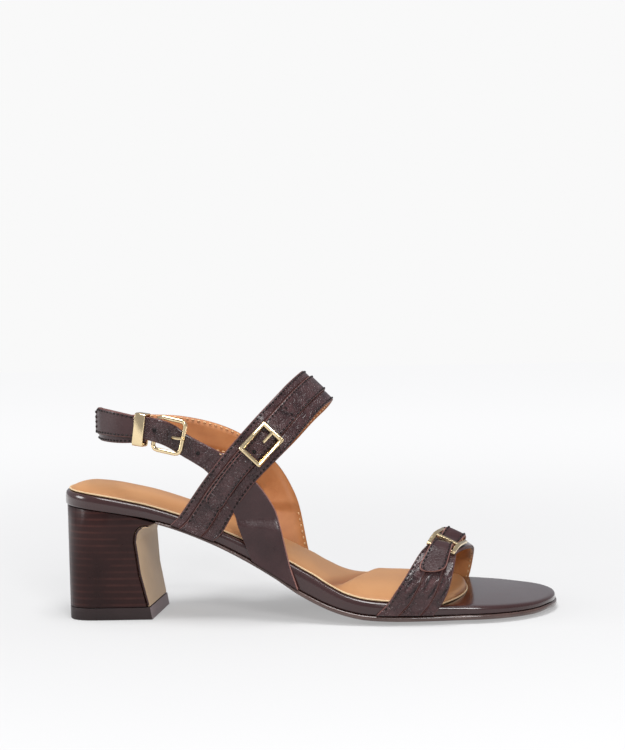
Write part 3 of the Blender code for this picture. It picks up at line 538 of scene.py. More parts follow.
class Graph:
    """A node tree with short ways to add and join nodes."""

    def __init__(self, tree: bpy.types.NodeTree) -> None:
        """Keeps the tree that the nodes go into."""
        self.tree = tree

    def add(self, kind: str, inputs: dict | None = None, **settings: object) -> bpy.types.Node:
        """Adds a node.

        Args:
            kind: Blender's name of the node type.
            inputs: Values or output sockets by input name or number.
            **settings: The node's own properties.

        Returns:
            The node.
        """
        node = self.tree.nodes.new(kind)
        for key, value in settings.items():
            setattr(node, key, value)
        for key, value in (inputs or {}).items():
            if isinstance(value, bpy.types.NodeSocket):
                self.tree.links.new(value, node.inputs[key])
            else:
                node.inputs[key].default_value = value
        return node

    def ramp(
        self, factor: bpy.types.NodeSocket, stops: Sequence[tuple[float, float]]
    ) -> bpy.types.NodeSocket:
        """Maps a value through grey stops.

        Args:
            factor: The value to map.
            stops: Pairs of position and grey level.

        Returns:
            The mapped value's socket.
        """
        node = self.add("ShaderNodeValToRGB", {"Fac": factor})
        elements = node.color_ramp.elements
        while len(elements) < len(stops):
            elements.new(0.5)
        for element, (position, level) in zip(elements, stops):
            element.position = position
            element.color = (level, level, level, 1.0)
        return node.outputs["Color"]

    def mixed(self, factor: object, a: object, b: object) -> bpy.types.NodeSocket:
        """Mixes two colours.

        Args:
            factor: Share of the second colour, a value or a socket.
            a: The first colour, a tuple or a socket.
            b: The second colour.

        Returns:
            The mixed colour's socket.
        """
        node = self.add("ShaderNodeMix", data_type="RGBA")
        for index, value in ((0, factor), (6, a), (7, b)):
            if isinstance(value, bpy.types.NodeSocket):
                self.tree.links.new(value, node.inputs[index])
            else:
                node.inputs[index].default_value = value if index == 0 else (*value[:3], 1.0)
        return node.outputs[2]

    def sum(self, a: object, b: object, operation: str = "ADD") -> bpy.types.NodeSocket:
        """Joins two values with a Math operation and returns the result's socket."""
        return self.add("ShaderNodeMath", {0: a, 1: b}, operation=operation).outputs[0]


class Effects:
    """The shader node groups that the finishes share, each built once."""

    WARP = 0.0012
    PORE_WIDTH = 0.14
    FINE_SHARE = 0.35
    WANDER = 0.0010

    def __init__(self) -> None:
        """Builds the grain, mottle and layer groups."""
        self.grain = self.make_grain()
        self.mottle = self.make_mottle()
        self.layers = self.make_layers()

    def start(
        self, name: str, inputs: dict[str, float], outputs: Sequence[str]
    ) -> tuple[Graph, bpy.types.Node, bpy.types.Node]:
        """Starts a group.

        Args:
            name: The group's name.
            inputs: Its value inputs and their defaults.
            outputs: Its value outputs.

        Returns:
            The graph, the input node and the output node.
        """
        tree = bpy.data.node_groups.new(name, "ShaderNodeTree")
        for label, value in inputs.items():
            socket = tree.interface.new_socket(name=label, in_out="INPUT", socket_type="NodeSocketFloat")
            socket.default_value = value
        for label in outputs:
            tree.interface.new_socket(name=label, in_out="OUTPUT", socket_type="NodeSocketFloat")
        graph = Graph(tree)
        return graph, graph.add("NodeGroupInput"), graph.add("NodeGroupOutput")

    def make_grain(self) -> bpy.types.NodeTree:
        """Leather grain: fine pebbles with pores between them, on cells that are bent a little.

        Returns:
            The group.
        """
        graph, given, result = self.start(
            "leather_grain", {"Scale": 900.0, "Crackle": 0.3}, ("Height", "Pores")
        )
        place = graph.add("ShaderNodeTexCoord").outputs["Object"]
        warp = graph.add("ShaderNodeTexNoise", {"Vector": place, "Scale": 260.0, "Detail": 2.0})
        shifted = graph.add(
            "ShaderNodeVectorMath", {0: warp.outputs["Color"], 1: (0.5, 0.5, 0.5)}, operation="SUBTRACT"
        )
        moved = graph.add(
            "ShaderNodeVectorMath", {0: shifted.outputs[0], "Scale": self.WARP}, operation="SCALE"
        )
        bent = graph.add("ShaderNodeVectorMath", {0: place, 1: moved.outputs[0]}, operation="ADD")
        cells = graph.add(
            "ShaderNodeTexVoronoi",
            {"Vector": bent.outputs[0], "Scale": given.outputs["Scale"]},
            feature="DISTANCE_TO_EDGE",
        )
        pores = graph.ramp(cells.outputs["Distance"], ((0.0, 1.0), (self.PORE_WIDTH, 0.0)))
        fine = graph.add("ShaderNodeTexNoise", {"Vector": place, "Scale": 1800.0, "Detail": 3.0})
        cut = graph.sum(pores, given.outputs["Crackle"], "MULTIPLY")
        height = graph.sum(graph.sum(fine.outputs["Fac"], self.FINE_SHARE, "MULTIPLY"), cut, "SUBTRACT")
        graph.tree.links.new(height, result.inputs["Height"])
        graph.tree.links.new(cut, result.inputs["Pores"])
        return graph.tree

    def make_mottle(self) -> bpy.types.NodeTree:
        """Cloudy unevenness of a dyed or worn surface, round 0.5.

        Returns:
            The group.
        """
        graph, given, result = self.start("mottle", {"Scale": 60.0, "Contrast": 1.0}, ("Value",))
        place = graph.add("ShaderNodeTexCoord").outputs["Object"]
        clouds = graph.add(
            "ShaderNodeTexNoise",
            {"Vector": place, "Scale": given.outputs["Scale"], "Detail": 5.0, "Roughness": 0.6},
        )
        spread = graph.sum(
            graph.sum(clouds.outputs["Fac"], 0.5, "SUBTRACT"), given.outputs["Contrast"], "MULTIPLY"
        )
        graph.tree.links.new(graph.sum(spread, 0.5), result.inputs["Value"])
        return graph.tree

    def make_layers(self) -> bpy.types.NodeTree:
        """Thin level lines between stacked layers, a little uneven.

        Returns:
            The group.
        """
        graph, given, result = self.start("stack_lines", {"Spacing": 0.0031, "Width": 0.24}, ("Line",))
        place = graph.add("ShaderNodeTexCoord").outputs["Object"]
        parts = graph.add("ShaderNodeSeparateXYZ", {0: place})
        wander = graph.add("ShaderNodeTexNoise", {"Vector": place, "Scale": 35.0, "Detail": 1.0})
        shift = graph.sum(wander.outputs["Fac"], self.WANDER, "MULTIPLY")
        level = graph.sum(graph.sum(parts.outputs["Z"], shift), given.outputs["Spacing"], "DIVIDE")
        share = graph.sum(level, 1.0, "FRACT")
        near = graph.sum(graph.sum(share, 0.5, "SUBTRACT"), 0.0, "ABSOLUTE")
        line = graph.sum(1.0, graph.sum(near, given.outputs["Width"], "DIVIDE"), "SUBTRACT")
        clear = graph.add("ShaderNodeClamp", {"Value": line})
        graph.tree.links.new(clear.outputs[0], result.inputs["Line"])
        return graph.tree


@dataclass(frozen=True)
class Finish:
    """A plain or mottled finish with fine grain."""

    name: str
    slot: str
    colour: Row
    shade: Row
    roughness: float = 0.45
    coat: float = 0.0
    metallic: float = 0.0
    scale: float = 70.0
    grain: float = 900.0
    crackle: float = 0.3
    bump: float = 0.00005
    # Colour of the painted shade in folds, mixed in by the fold attribute.
    fold: Row = ()
    shine: float = 0.3
    coat_roughness: float = 0.12
    cloud_contrast: float = 2.2
    uneven: float = 0.12

    def make(self, effects: Effects) -> bpy.types.Material:
        """Builds the material.

        Args:
            effects: The shared node groups.

        Returns:
            The material.
        """
        material = bpy.data.materials.new(self.name)
        material.use_nodes = True
        graph = Graph(material.node_tree)
        shader = material.node_tree.nodes["Principled BSDF"]
        shader.inputs["Metallic"].default_value = self.metallic
        shader.inputs["Coat Weight"].default_value = self.coat
        shader.inputs["Coat Roughness"].default_value = self.coat_roughness
        shader.inputs["Specular IOR Level"].default_value = self.shine
        clouds = graph.add("ShaderNodeGroup", node_tree=effects.mottle)
        clouds.inputs["Scale"].default_value = self.scale
        clouds.inputs["Contrast"].default_value = self.cloud_contrast
        base = graph.mixed(clouds.outputs["Value"], self.shade, self.colour)
        base = self.detail(graph, effects, base)
        material.node_tree.links.new(base, shader.inputs["Base Color"])
        uneven = graph.sum(
            graph.sum(clouds.outputs["Value"], self.uneven, "MULTIPLY"), self.roughness - self.uneven / 2
        )
        material.node_tree.links.new(uneven, shader.inputs["Roughness"])
        pebbles = graph.add("ShaderNodeGroup", node_tree=effects.grain)
        pebbles.inputs["Scale"].default_value = self.grain
        pebbles.inputs["Crackle"].default_value = self.crackle
        bump = graph.add(
            "ShaderNodeBump", {"Height": pebbles.outputs["Height"], "Distance": self.bump, "Strength": 1.0}
        )
        material.node_tree.links.new(bump.outputs["Normal"], shader.inputs["Normal"])
        return material

    def detail(self, graph: Graph, effects: Effects, base: bpy.types.NodeSocket) -> bpy.types.NodeSocket:
        """Darkens the colour where the fold attribute marks it: painted shade in folds and down the sock's
        sides, and darker towards the sock's edges.

        Args:
            graph: The material's graph.
            effects: The shared node groups.
            base: The colour so far.

        Returns:
            The colour to use.
        """
        if not self.fold:
            return base
        mark = graph.add("ShaderNodeAttribute", attribute_name="fold")
        return graph.mixed(mark.outputs["Fac"], base, self.fold)


@dataclass(frozen=True)
class StackFinish(Finish):
    """Stacked leather: level lines in a polished dark face."""

    line: Row = (0.054, 0.019, 0.016)
    fade_scale: float = 45.0
    fade_contrast: float = 4.5

    def detail(self, graph: Graph, effects: Effects, base: bpy.types.NodeSocket) -> bpy.types.NodeSocket:
        """Draws the lines between the stack's layers over the base colour.

        Args:
            graph: The material's graph.
            effects: The shared node groups.
            base: The colour so far.

        Returns:
            The colour with the lines.
        """
        lines = graph.add("ShaderNodeGroup", node_tree=effects.layers)
        fade = graph.add("ShaderNodeGroup", node_tree=effects.mottle)
        fade.inputs["Scale"].default_value = self.fade_scale
        fade.inputs["Contrast"].default_value = self.fade_contrast
        share = graph.sum(lines.outputs["Line"], fade.outputs["Value"], "MULTIPLY")
        return graph.mixed(share, base, self.line)


@dataclass(frozen=True)
class Wardrobe:
    """Every finish of the sandal: material, part slot, lighter and darker colour, roughness, coat."""

    # The fold colours are painted shade, mixed in where the fold attribute marks folds.
    leather: Finish = Finish(
        "dark_leather_skin", "dark_leather", (0.056, 0.025, 0.026), (0.029, 0.012, 0.013), 0.33, 0.16,
        grain=900.0, crackle=0.4, bump=0.00007, fold=(0.016, 0.007, 0.008),
    )
    tumbled: Finish = Finish(
        "tumbled_leather_skin", "dark_leather", (0.080, 0.036, 0.037), (0.022, 0.009, 0.010), 0.29, 0.28,
        scale=190.0, grain=680.0, crackle=0.9, bump=0.00020, fold=(0.010, 0.004, 0.005),
    )
    cracked: Finish = Finish(
        "creased_leather_skin", "dark_leather", (0.070, 0.031, 0.032), (0.024, 0.010, 0.011), 0.27, 0.40,
        grain=760.0, crackle=0.9, bump=0.00028, fold=(0.016, 0.007, 0.008),
    )
    polished: Finish = Finish(
        "platform_leather", "dark_leather", (0.044, 0.017, 0.017), (0.030, 0.011, 0.011), 0.22, 0.70,
        scale=30.0, bump=0.00002,
    )
    edge: Finish = Finish(
        "cut_leather_edge", "dark_leather", (0.150, 0.066, 0.058), (0.070, 0.030, 0.027), 0.55, bump=0.00005,
    )
    raw: Finish = Finish(
        "raw_leather_edge", "dark_leather", (0.340, 0.165, 0.140), (0.230, 0.105, 0.088), 0.6, bump=0.00005,
    )
    lining: Finish = Finish(
        "lining_leather", "tan_leather", (0.520, 0.225, 0.085), (0.400, 0.150, 0.052), 0.50, scale=90.0,
        fold=(0.260, 0.085, 0.030),
    )
    sock: Finish = Finish(
        "sock_leather", "tan_leather", (0.520, 0.275, 0.125), (0.430, 0.205, 0.082), 0.44, scale=35.0,
        fold=(0.250, 0.080, 0.020),
    )
    piping: Finish = Finish("cream_piping", "tan_leather", (0.700, 0.520, 0.320), (0.560, 0.380, 0.210), 0.5)
    sole: Finish = Finish(
        "sole_leather_edge", "sole_leather", (0.105, 0.064, 0.055), (0.060, 0.034, 0.030), 0.26, 0.7,
    )
    stack: StackFinish = StackFinish(
        "stacked_heel", "stacked_leather", (0.031, 0.0115, 0.0105), (0.017, 0.0064, 0.0062), 0.30, 0.06,
        scale=50.0, bump=0.00002, shine=0.16,
    )
    cover: Finish = Finish(
        "breast_leather", "cover_leather", (0.640, 0.455, 0.290), (0.540, 0.370, 0.225), 0.55,
    )
    rubber: Finish = Finish("heel_rubber", "lift_rubber", (0.030, 0.018, 0.018), (0.020, 0.012, 0.012), 0.50)
    lift_front: Finish = Finish(
        "lift_front_face", "lift_rubber", (0.240, 0.190, 0.195), (0.180, 0.140, 0.145), 0.6,
    )
    gold: Finish = Finish(
        "pale_gold", "gold_metal", (0.900, 0.730, 0.460), (0.820, 0.640, 0.370), 0.17, metallic=1.0,
        bump=0.000006, shine=0.5,
    )
    pale: Finish = Finish("pale_thread", "tan_leather", (0.700, 0.470, 0.270), (0.600, 0.380, 0.200), 0.6)
    dark: Finish = Finish("dark_thread", "dark_leather", (0.012, 0.006, 0.006), (0.007, 0.004, 0.004), 0.35)
    # The holes' finish is painted shade: a near-black disc stands for the shadow inside each hole.
    hole: Finish = Finish("punched_hole", "dark_leather", (0.008, 0.004, 0.004), (0.006, 0.003, 0.003), 0.6)


@dataclass(frozen=True)
class Thread:
    """A sewing thread: its finish and its stitches' pitch, length and half thickness in metres."""

    finish: Finish
    pitch: float
    length: float
    radius: float


EFFECTS = Effects()
FINISHES = Wardrobe()
LINING_THREAD = Thread(FINISHES.pale, 0.0028, 0.0016, 0.00038)
STRAP_THREAD = Thread(FINISHES.dark, 0.0022, 0.0014, 0.00046)
VAMP_THREAD = Thread(FINISHES.dark, 0.0023, 0.0014, 0.00042)
TAB_THREAD = Thread(FINISHES.dark, 0.0019, 0.0013, 0.00042)
MADE: dict[str, bpy.types.Material] = {}


def material_of(finish: Finish) -> bpy.types.Material:
    """Gives the finish's material, built at its first use.

    Args:
        finish: The finish.

    Returns:
        The material.
    """
    if finish.name not in MADE:
        MADE[finish.name] = finish.make(EFFECTS)
    return MADE[finish.name]


def dress(obj: bpy.types.Object, *finishes: Finish, stands_for: Sequence[str] = ()) -> bpy.types.Object:
    """Gives a finished piece its materials, its body and its CAD nodes.

    Args:
        obj: The piece, in place.
        *finishes: Its finishes in slot order.
        stands_for: The CAD nodes that it replaces.

    Returns:
        The piece.
    """
    kept = [polygon.material_index for polygon in obj.data.polygons]
    obj.data.materials.clear()
    for finish in finishes:
        obj.data.materials.append(material_of(finish))
    for polygon, index in zip(obj.data.polygons, kept):
        polygon.material_index = min(index, len(finishes) - 1)
    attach(obj, "root")
    if stands_for:
        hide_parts(*stands_for)
    LOG.info("%s: %d faces", obj.name, len(obj.data.polygons))
    return obj


def mark(obj: bpy.types.Object, name: str, value: Callable[[Vector], float]) -> None:
    """Stores a value from 0 to 1 at each point of a piece.

    Args:
        obj: The piece.
        name: The attribute's name.
        value: The value at a point.
    """
    layer = obj.data.attributes.new(name, "FLOAT", "POINT")
    for item, vertex in zip(layer.data, obj.data.vertices):
        item.value = max(0.0, min(1.0, value(vertex.co)))


@dataclass(frozen=True)
class Crease:
    """A soft trough or ridge on a strap, at a given place."""

    along: float
    across: float
    reach: float
    spread: float
    turn: float
    depth: float

    def height(self, run: float, side: float) -> float:
        """How far it moves the surface.

        Args:
            run: Metres along the strap from its middle.
            side: Metres across the strap from its middle.

        Returns:
            The height in metres, below zero in a trough.
        """
        turn = math.radians(self.turn)
        a = (run * math.cos(turn) + side * math.sin(turn)) / (self.reach * MILLIMETRE)
        b = (side * math.cos(turn) - run * math.sin(turn)) / (self.spread * MILLIMETRE)
        return self.depth * MILLIMETRE * math.exp(-(a**4) - b * b)


@dataclass
class Strap:
    """A leather strap on a run of rows, its inner face on the rows."""

    name: str
    rows: list[tuple[Vector, Vector]]
    outward: Callable[[Vector], Vector]
    creases: list[Crease] = field(default_factory=list)
    normals: list[tuple[Vector, Vector]] = field(default_factory=list)
    run: list[float] = field(default_factory=list)
    columns: int = 14
    edge_inset: float = 0.00035
    edge_drop: float = 0.00012
    edge_share: float = 0.7
    inner_fold: float = 0.3
    fold_far: float = 0.022
    # Gain from a trough's depth to the painted shade in it.
    crease_shade_gain: float = 2400.0
    tip_crowding: float = 1.5
    tip_least: float = 0.03
    tip_power: float = 2.8
    tip_root: float = 0.4
    tries: int = 80

    def __post_init__(self) -> None:
        """Measures the strap's normals and its length."""
        rows, last = self.rows, len(self.rows) - 1
        self.run = [0.0]
        for i in range(last):
            step = (rows[i + 1][0].lerp(rows[i + 1][1], 0.5) - rows[i][0].lerp(rows[i][1], 0.5)).length
            self.run.append(self.run[-1] + step)
        for i, pair in enumerate(rows):
            found = []
            for j in (0, 1):
                along = rows[min(i + 1, last)][j] - rows[max(i - 1, 0)][j]
                normal = along.cross(pair[1] - pair[0]).normalized()
                if normal.dot(self.outward(pair[j])) < 0:
                    normal.negate()
                found.append(normal)
            self.normals.append((found[0], found[1]))

    def at(self, u: float, v: float, height: float) -> Vector:
        """A point on the strap.

        Args:
            u: Share of the strap's length.
            v: Share of its width from the back edge.
            height: Distance out from the inner face.

        Returns:
            The point.
        """
        goal = u * self.run[-1]
        i = max(0, min(len(self.run) - 2, bisect_right(self.run, goal) - 1))
        share = (goal - self.run[i]) / (self.run[i + 1] - self.run[i])
        ends = [self.rows[i][j].lerp(self.rows[i + 1][j], share) for j in (0, 1)]
        outs = [self.normals[i][j].lerp(self.normals[i + 1][j], share) for j in (0, 1)]
        return ends[0].lerp(ends[1], v) + outs[0].lerp(outs[1], v).normalized() * height

    def out(self, u: float, v: float) -> Vector:
        """The direction out of the strap at a place."""
        return self.at(u, v, 1.0) - self.at(u, v, 0.0)

    def wide(self, u: float) -> float:
        """The strap's width at a share of its length."""
        return (self.at(u, 1.0, 0.0) - self.at(u, 0.0, 0.0)).length

    def folds(self, u: float, v: float) -> float:
        """What the creases do to the surface.

        Args:
            u: Share of the strap's length.
            v: Share of its width.

        Returns:
            The height in metres.
        """
        total, width = 0.0, self.wide(u)
        for crease in self.creases:
            run = (u - crease.along) * self.run[-1]
            if abs(run) < self.fold_far:
                total += crease.height(run, (v - crease.across) * width)
        return total

    def share_at(self, axis: int, value: float, low: float, high: float) -> float:
        """Finds where the middle line reaches a coordinate.

        Args:
            axis: 0, 1 or 2 for x, y or z.
            value: The coordinate.
            low: Share where the search starts.
            high: Share where it ends.

        Returns:
            The share of the strap's length.
        """
        spots = [mix(low, high, k / self.tries) for k in range(self.tries + 1)]
        return min(spots, key=lambda u: abs(self.at(u, 0.5, 0.0)[axis] - value))

    def layer(
        self,
        name: str,
        span: Row,
        across: Row,
        base: float,
        heights: Row,
        steps: int,
        round_end: float = 0.0,
        lift: Height | None = None,
    ) -> bpy.types.Object:
        """Builds one sheet of leather on the strap, with rounded edges, the strap's creases and painted shade
        in their troughs.

        Args:
            name: The piece's name.
            span: Start and end as shares of the length.
            across: Back and front edge as shares of the width.
            base: Height of its inner face.
            heights: Height of its outer face at the back and at the front edge.
            steps: Divisions along it.
            round_end: Half width in metres of a round end, or 0 for a straight one.
            lift: Extra height by share of the length and of the width.

        Returns:
            The object, its slots as in Skin.
        """
        columns = self.columns
        points, rings, trough_shade, slots, faces = [], [], [], [], []
        length = (span[1] - span[0]) * self.run[-1]
        for i in range(steps + 1):
            place = i / steps
            if round_end:
                place = 1 - (1 - place) ** self.tip_crowding
            u = mix(span[0], span[1], place)
            width = max(self.wide(u), CAD_WELD)
            low, high = across
            if round_end:
                near = max(0.0, 1 - (1 - place) * abs(length) / round_end)
                round_off = max(self.tip_least, 1 - near**self.tip_power) ** self.tip_root
                half = (high - low) / 2 * round_off
                low, high = (low + high) / 2 - half, (low + high) / 2 + half
            ring, inset = [], self.edge_inset / width
            back, front = (mix(base, height, self.edge_share) for height in heights)
            profile = [(low, base, Skin.EDGE), (low, back, Skin.EDGE)]
            for k in range(columns + 1):
                v = mix(low + inset, high - inset, k / columns)
                top = mix(heights[0], heights[1], (v - across[0]) / (across[1] - across[0]))
                profile.append((v, top - (self.edge_drop if k in (0, columns) else 0.0), Skin.OUTSIDE))
            profile += [(high, front, Skin.EDGE), (high, base, Skin.EDGE)]
            profile += [(mix(high, low, k / 4), base, Skin.INSIDE) for k in (1, 2, 3)]
            for v, height, skin in profile:
                fold = self.folds(u, v)
                rise = lift(u, v) if lift else 0.0
                share = self.inner_fold if skin is Skin.INSIDE else 1.0
                ring.append(len(points))
                points.append(self.at(u, v, height + rise + fold * share))
                # Troughs get painted shade: the fold attribute grows with their depth.
                trough_shade.append(max(0.0, min(1.0, -fold * self.crease_shade_gain)))
            rings.append(ring)
        count = len(rings[0])
        last_edge = 2 + columns + 1
        for lower, upper in zip(rings, rings[1:]):
            for k in range(count):
                after = (k + 1) % count
                faces.append((lower[k], lower[after], upper[after], upper[k]))
                if k < 2:
                    slots.append(Skin.EDGE.value)
                elif last_edge - 1 <= k <= last_edge:
                    slots.append(Skin.FRONT.value)
                elif k > last_edge:
                    slots.append(Skin.INSIDE.value)
                else:
                    slots.append(Skin.OUTSIDE.value)
        faces += [tuple(rings[0]), tuple(rings[-1])]
        slots += [Skin.EDGE.value] * 2
        obj = solid(name, points, faces, slots)
        kept = {tuple(round(c, DIGITS) for c in point): value for point, value in zip(points, trough_shade)}
        mark(obj, "fold", lambda co: kept.get(tuple(round(c, DIGITS) for c in co), 0.0))
        return obj

    def line(self, span: Row, v: float, height: float, steps: int = 60) -> list[Vector]:
        """A line along the strap.

        Args:
            span: Start and end as shares of the length.
            v: Share of the width.
            height: Height over the inner face.
            steps: Divisions.

        Returns:
            Its points.
        """
        spots = [mix(span[0], span[1], k / steps) for k in range(steps + 1)]
        return [self.at(u, v, height + (self.folds(u, v) if height > 0 else 0.0)) for u in spots]


def away_from_foot(point: Vector) -> Vector:
    """A direction out of the foot: sideways and up over the instep, back round the heel.

    Args:
        point: A place on a strap.

    Returns:
        The direction, of any length.
    """
    behind = min(0.0, point.x - SLING_TURN_X)
    height = max(0.0, point.z - INSTEP_HEIGHT * FOOT_SIDE) if behind == 0.0 else 0.0
    return Vector((behind, point.y, height * 2))


def above_toes(point: Vector) -> Vector:
    """A direction out of the toes: sideways and up."""
    return Vector((0.0, point.y, point.z))


def seat_row(stations: Row, side: Side, drop: float) -> tuple[Vector, Vector]:
    """A strap's row on the side of the platform.

    Args:
        stations: Its back and front stations.
        side: The side of the shoe.
        drop: 0 at the platform's top edge and 1 at its bottom edge.

    Returns:
        The row's back and front points.
    """
    pair = []
    for station in stations:
        x = x_at(station)
        y = edge_y(x, side)
        z = mix(rand_top(x), rand_bottom(x, y) + CLEARANCE, drop)
        pair.append(Vector((x, y + side.value * CLEARANCE, z)))
    return pair[0], pair[1]


def seat_rows(seats: Table, side: Side) -> list[tuple[Vector, Vector]]:
    """A strap's two rows on the side of the platform.

    Args:
        seats: Stations of the row at the platform's bottom edge and of the one at its top edge.
        side: The side of the shoe.

    Returns:
        The rows, from the bottom up.
    """
    return [seat_row(stations, side, drop) for stations, drop in zip(seats, (1.0, 0.0))]


def free_row(row: Row, side: Side, half: float, lead: float = 0.0) -> tuple[Vector, Vector]:
    """A strap's row that stands free.

    Args:
        row: A row of one of the strap tables.
        side: The side of the shoe.
        half: Half the foot's width there.
        lead: Stations by which the row lies further forward.

    Returns:
        The row's back and front points.
    """
    y = side.value * row[4] * half
    back = Vector((x_at(row[0] + lead), y, row[1] * INSTEP_HEIGHT))
    return back, Vector((x_at(row[2] + lead), y, row[3] * INSTEP_HEIGHT))


def turn_row(row: Row, grow: float) -> tuple[Vector, Vector]:
    """A row of the sling round the back of the heel.

    Args:
        row: A row of one of the turn tables.
        grow: How much further out than the heel strap it lies.

    Returns:
        The row's lower and upper points.
    """
    turn, power = math.radians(row[0]), 2 / HEEL_POWER
    x = SLING_TURN_X - (SLING_REACH + grow) * math.cos(turn) ** power
    y = math.copysign((SLING_WIDTH / 2 + grow) * abs(math.sin(turn)) ** power, row[0])
    return Vector((x, y, row[1] * INSTEP_HEIGHT)), Vector((x, y, row[2] * INSTEP_HEIGHT))


class Stitching:
    """Rows of stitches and punched holes, made by Geometry Nodes."""

    def __init__(self) -> None:
        """Builds the two trees."""
        self.stitch_tree = self.make_stitch_tree()
        self.hole_tree = self.make_hole_tree()

    def start(self, name: str, sizes: dict[str, float]) -> tuple[Graph, bpy.types.Node, bpy.types.Node]:
        """Starts a tree with geometry, a material and named sizes as inputs.

        Args:
            name: The tree's name.
            sizes: Its value inputs and their defaults.

        Returns:
            The graph, the input node and the output node.
        """
        tree = bpy.data.node_groups.new(name, "GeometryNodeTree")
        tree.interface.new_socket(name="Geometry", in_out="INPUT", socket_type="NodeSocketGeometry")
        tree.interface.new_socket(name="Material", in_out="INPUT", socket_type="NodeSocketMaterial")
        for label, value in sizes.items():
            tree.interface.new_socket(
                name=label, in_out="INPUT", socket_type="NodeSocketFloat"
            ).default_value = value
        tree.interface.new_socket(name="Geometry", in_out="OUTPUT", socket_type="NodeSocketGeometry")
        graph = Graph(tree)
        return graph, graph.add("NodeGroupInput"), graph.add("NodeGroupOutput")

    def finish_tree(
        self, graph: Graph, given: bpy.types.Node, result: bpy.types.Node, made: bpy.types.NodeSocket
    ) -> None:
        """Ends a tree with Realize Instances and Set Material.

        Args:
            graph: The tree's graph.
            given: Its input node.
            result: Its output node.
            made: The instances' socket.
        """
        real = graph.add("GeometryNodeRealizeInstances", {0: made})
        skin = graph.add(
            "GeometryNodeSetMaterial", {"Geometry": real.outputs[0], "Material": given.outputs["Material"]}
        )
        graph.tree.links.new(skin.outputs[0], result.inputs[0])

    def make_stitch_tree(self) -> bpy.types.NodeTree:
        """Stitches along each line of a mesh of edges.

        Returns:
            The tree.
        """
        sizes = {"Pitch": 0.0022, "Length": 0.0014, "Thread": 0.00022}
        graph, given, result = self.start("stitch_row", sizes)
        curve = graph.add("GeometryNodeMeshToCurve", {"Mesh": given.outputs["Geometry"]})
        even = graph.add(
            "GeometryNodeResampleCurve",
            {"Curve": curve.outputs[0], "Length": given.outputs["Pitch"]},
            mode="LENGTH",
        )
        ball = graph.add("GeometryNodeMeshUVSphere", {"Segments": 6, "Rings": 5, "Radius": 0.5})
        run = graph.add("GeometryNodeInputTangent")
        turned = graph.add("FunctionNodeAlignRotationToVector", {"Vector": run.outputs[0]}, axis="Z")
        wild = graph.add("FunctionNodeRandomValue", {2: 0.88, 3: 1.12, "Seed": 7}, data_type="FLOAT")
        long = graph.sum(given.outputs["Length"], wild.outputs[1], "MULTIPLY")
        size = graph.add(
            "ShaderNodeCombineXYZ", {0: given.outputs["Thread"], 1: given.outputs["Thread"], 2: long}
        )
        wide = graph.add(
            "ShaderNodeVectorMath", {0: size.outputs[0], 1: (2.0, 2.0, 1.0)}, operation="MULTIPLY"
        )
        placed = graph.add(
            "GeometryNodeInstanceOnPoints",
            {
                "Points": even.outputs[0],
                "Instance": ball.outputs[0],
                "Rotation": turned.outputs[0],
                "Scale": wide.outputs[0],
            },
        )
        self.finish_tree(graph, given, result, placed.outputs[0])
        return graph.tree

    def make_hole_tree(self) -> bpy.types.NodeTree:
        """A disc with a rolled rim on each point, turned to the point's attribute out.

        Returns:
            The tree.
        """
        graph, given, result = self.start("punched_holes", {"Radius": 0.0010, "Rim": 0.00018})
        out = graph.add("GeometryNodeInputNamedAttribute", {"Name": "out"}, data_type="FLOAT_VECTOR")
        turned = graph.add("FunctionNodeAlignRotationToVector", {"Vector": out.outputs[0]}, axis="Z")
        circle = graph.add(
            "GeometryNodeCurvePrimitiveCircle", {"Resolution": 20, "Radius": given.outputs["Radius"]}
        )
        section = graph.add(
            "GeometryNodeCurvePrimitiveCircle", {"Resolution": 8, "Radius": given.outputs["Rim"]}
        )
        rim = graph.add("GeometryNodeCurveToMesh", {0: circle.outputs[0], 1: section.outputs[0]})
        disc = graph.add(
            "GeometryNodeMeshCylinder",
            {"Vertices": 20, "Radius": given.outputs["Radius"], "Depth": given.outputs["Rim"]},
        )
        both = graph.add("GeometryNodeJoinGeometry")
        graph.tree.links.new(rim.outputs[0], both.inputs[0])
        graph.tree.links.new(disc.outputs[0], both.inputs[0])
        placed = graph.add(
            "GeometryNodeInstanceOnPoints",
            {"Points": given.outputs["Geometry"], "Instance": both.outputs[0], "Rotation": turned.outputs[0]},
        )
        self.finish_tree(graph, given, result, placed.outputs[0])
        return graph.tree

    def run(
        self, guide: bpy.types.Object, tree: bpy.types.NodeTree, finish: Finish, sizes: dict[str, float]
    ) -> bpy.types.Object:
        """Runs a tree on a guide and keeps its result as a plain mesh.

        Args:
            guide: The object with the guide's mesh.
            tree: The tree to run.
            finish: The finish to set.
            sizes: Values by the inputs' names.

        Returns:
            The finished piece.
        """
        modifier = guide.modifiers.new(tree.name, "NODES")
        modifier.node_group = tree
        for item in tree.interface.items_tree:
            if item.item_type == "SOCKET" and item.in_out == "INPUT":
                if item.name == "Material":
                    modifier[item.identifier] = material_of(finish)
                elif item.name in sizes:
                    modifier[item.identifier] = sizes[item.name]
        graph = bpy.context.evaluated_depsgraph_get()
        mesh = bpy.data.meshes.new_from_object(guide.evaluated_get(graph))
        guide.modifiers.clear()
        guide.data = mesh
        mesh.shade_smooth()
        return dress(guide, finish)

    def sew(self, name: str, lines: Sequence[Sequence[Vector]], thread: Thread) -> bpy.types.Object:
        """Sews stitches along lines.

        Args:
            name: The piece's name.
            lines: Lines of points.
            thread: The thread and the size of its stitches.

        Returns:
            The piece.
        """
        points, edges = [], []
        for line in lines:
            edges += [(len(points) + k, len(points) + k + 1) for k in range(len(line) - 1)]
            points += line
        mesh = bpy.data.meshes.new(name)
        mesh.from_pydata(points, edges, [])
        sizes = {"Pitch": thread.pitch, "Length": thread.length, "Thread": thread.radius}
        return self.run(linked(name, mesh), self.stitch_tree, thread.finish, sizes)

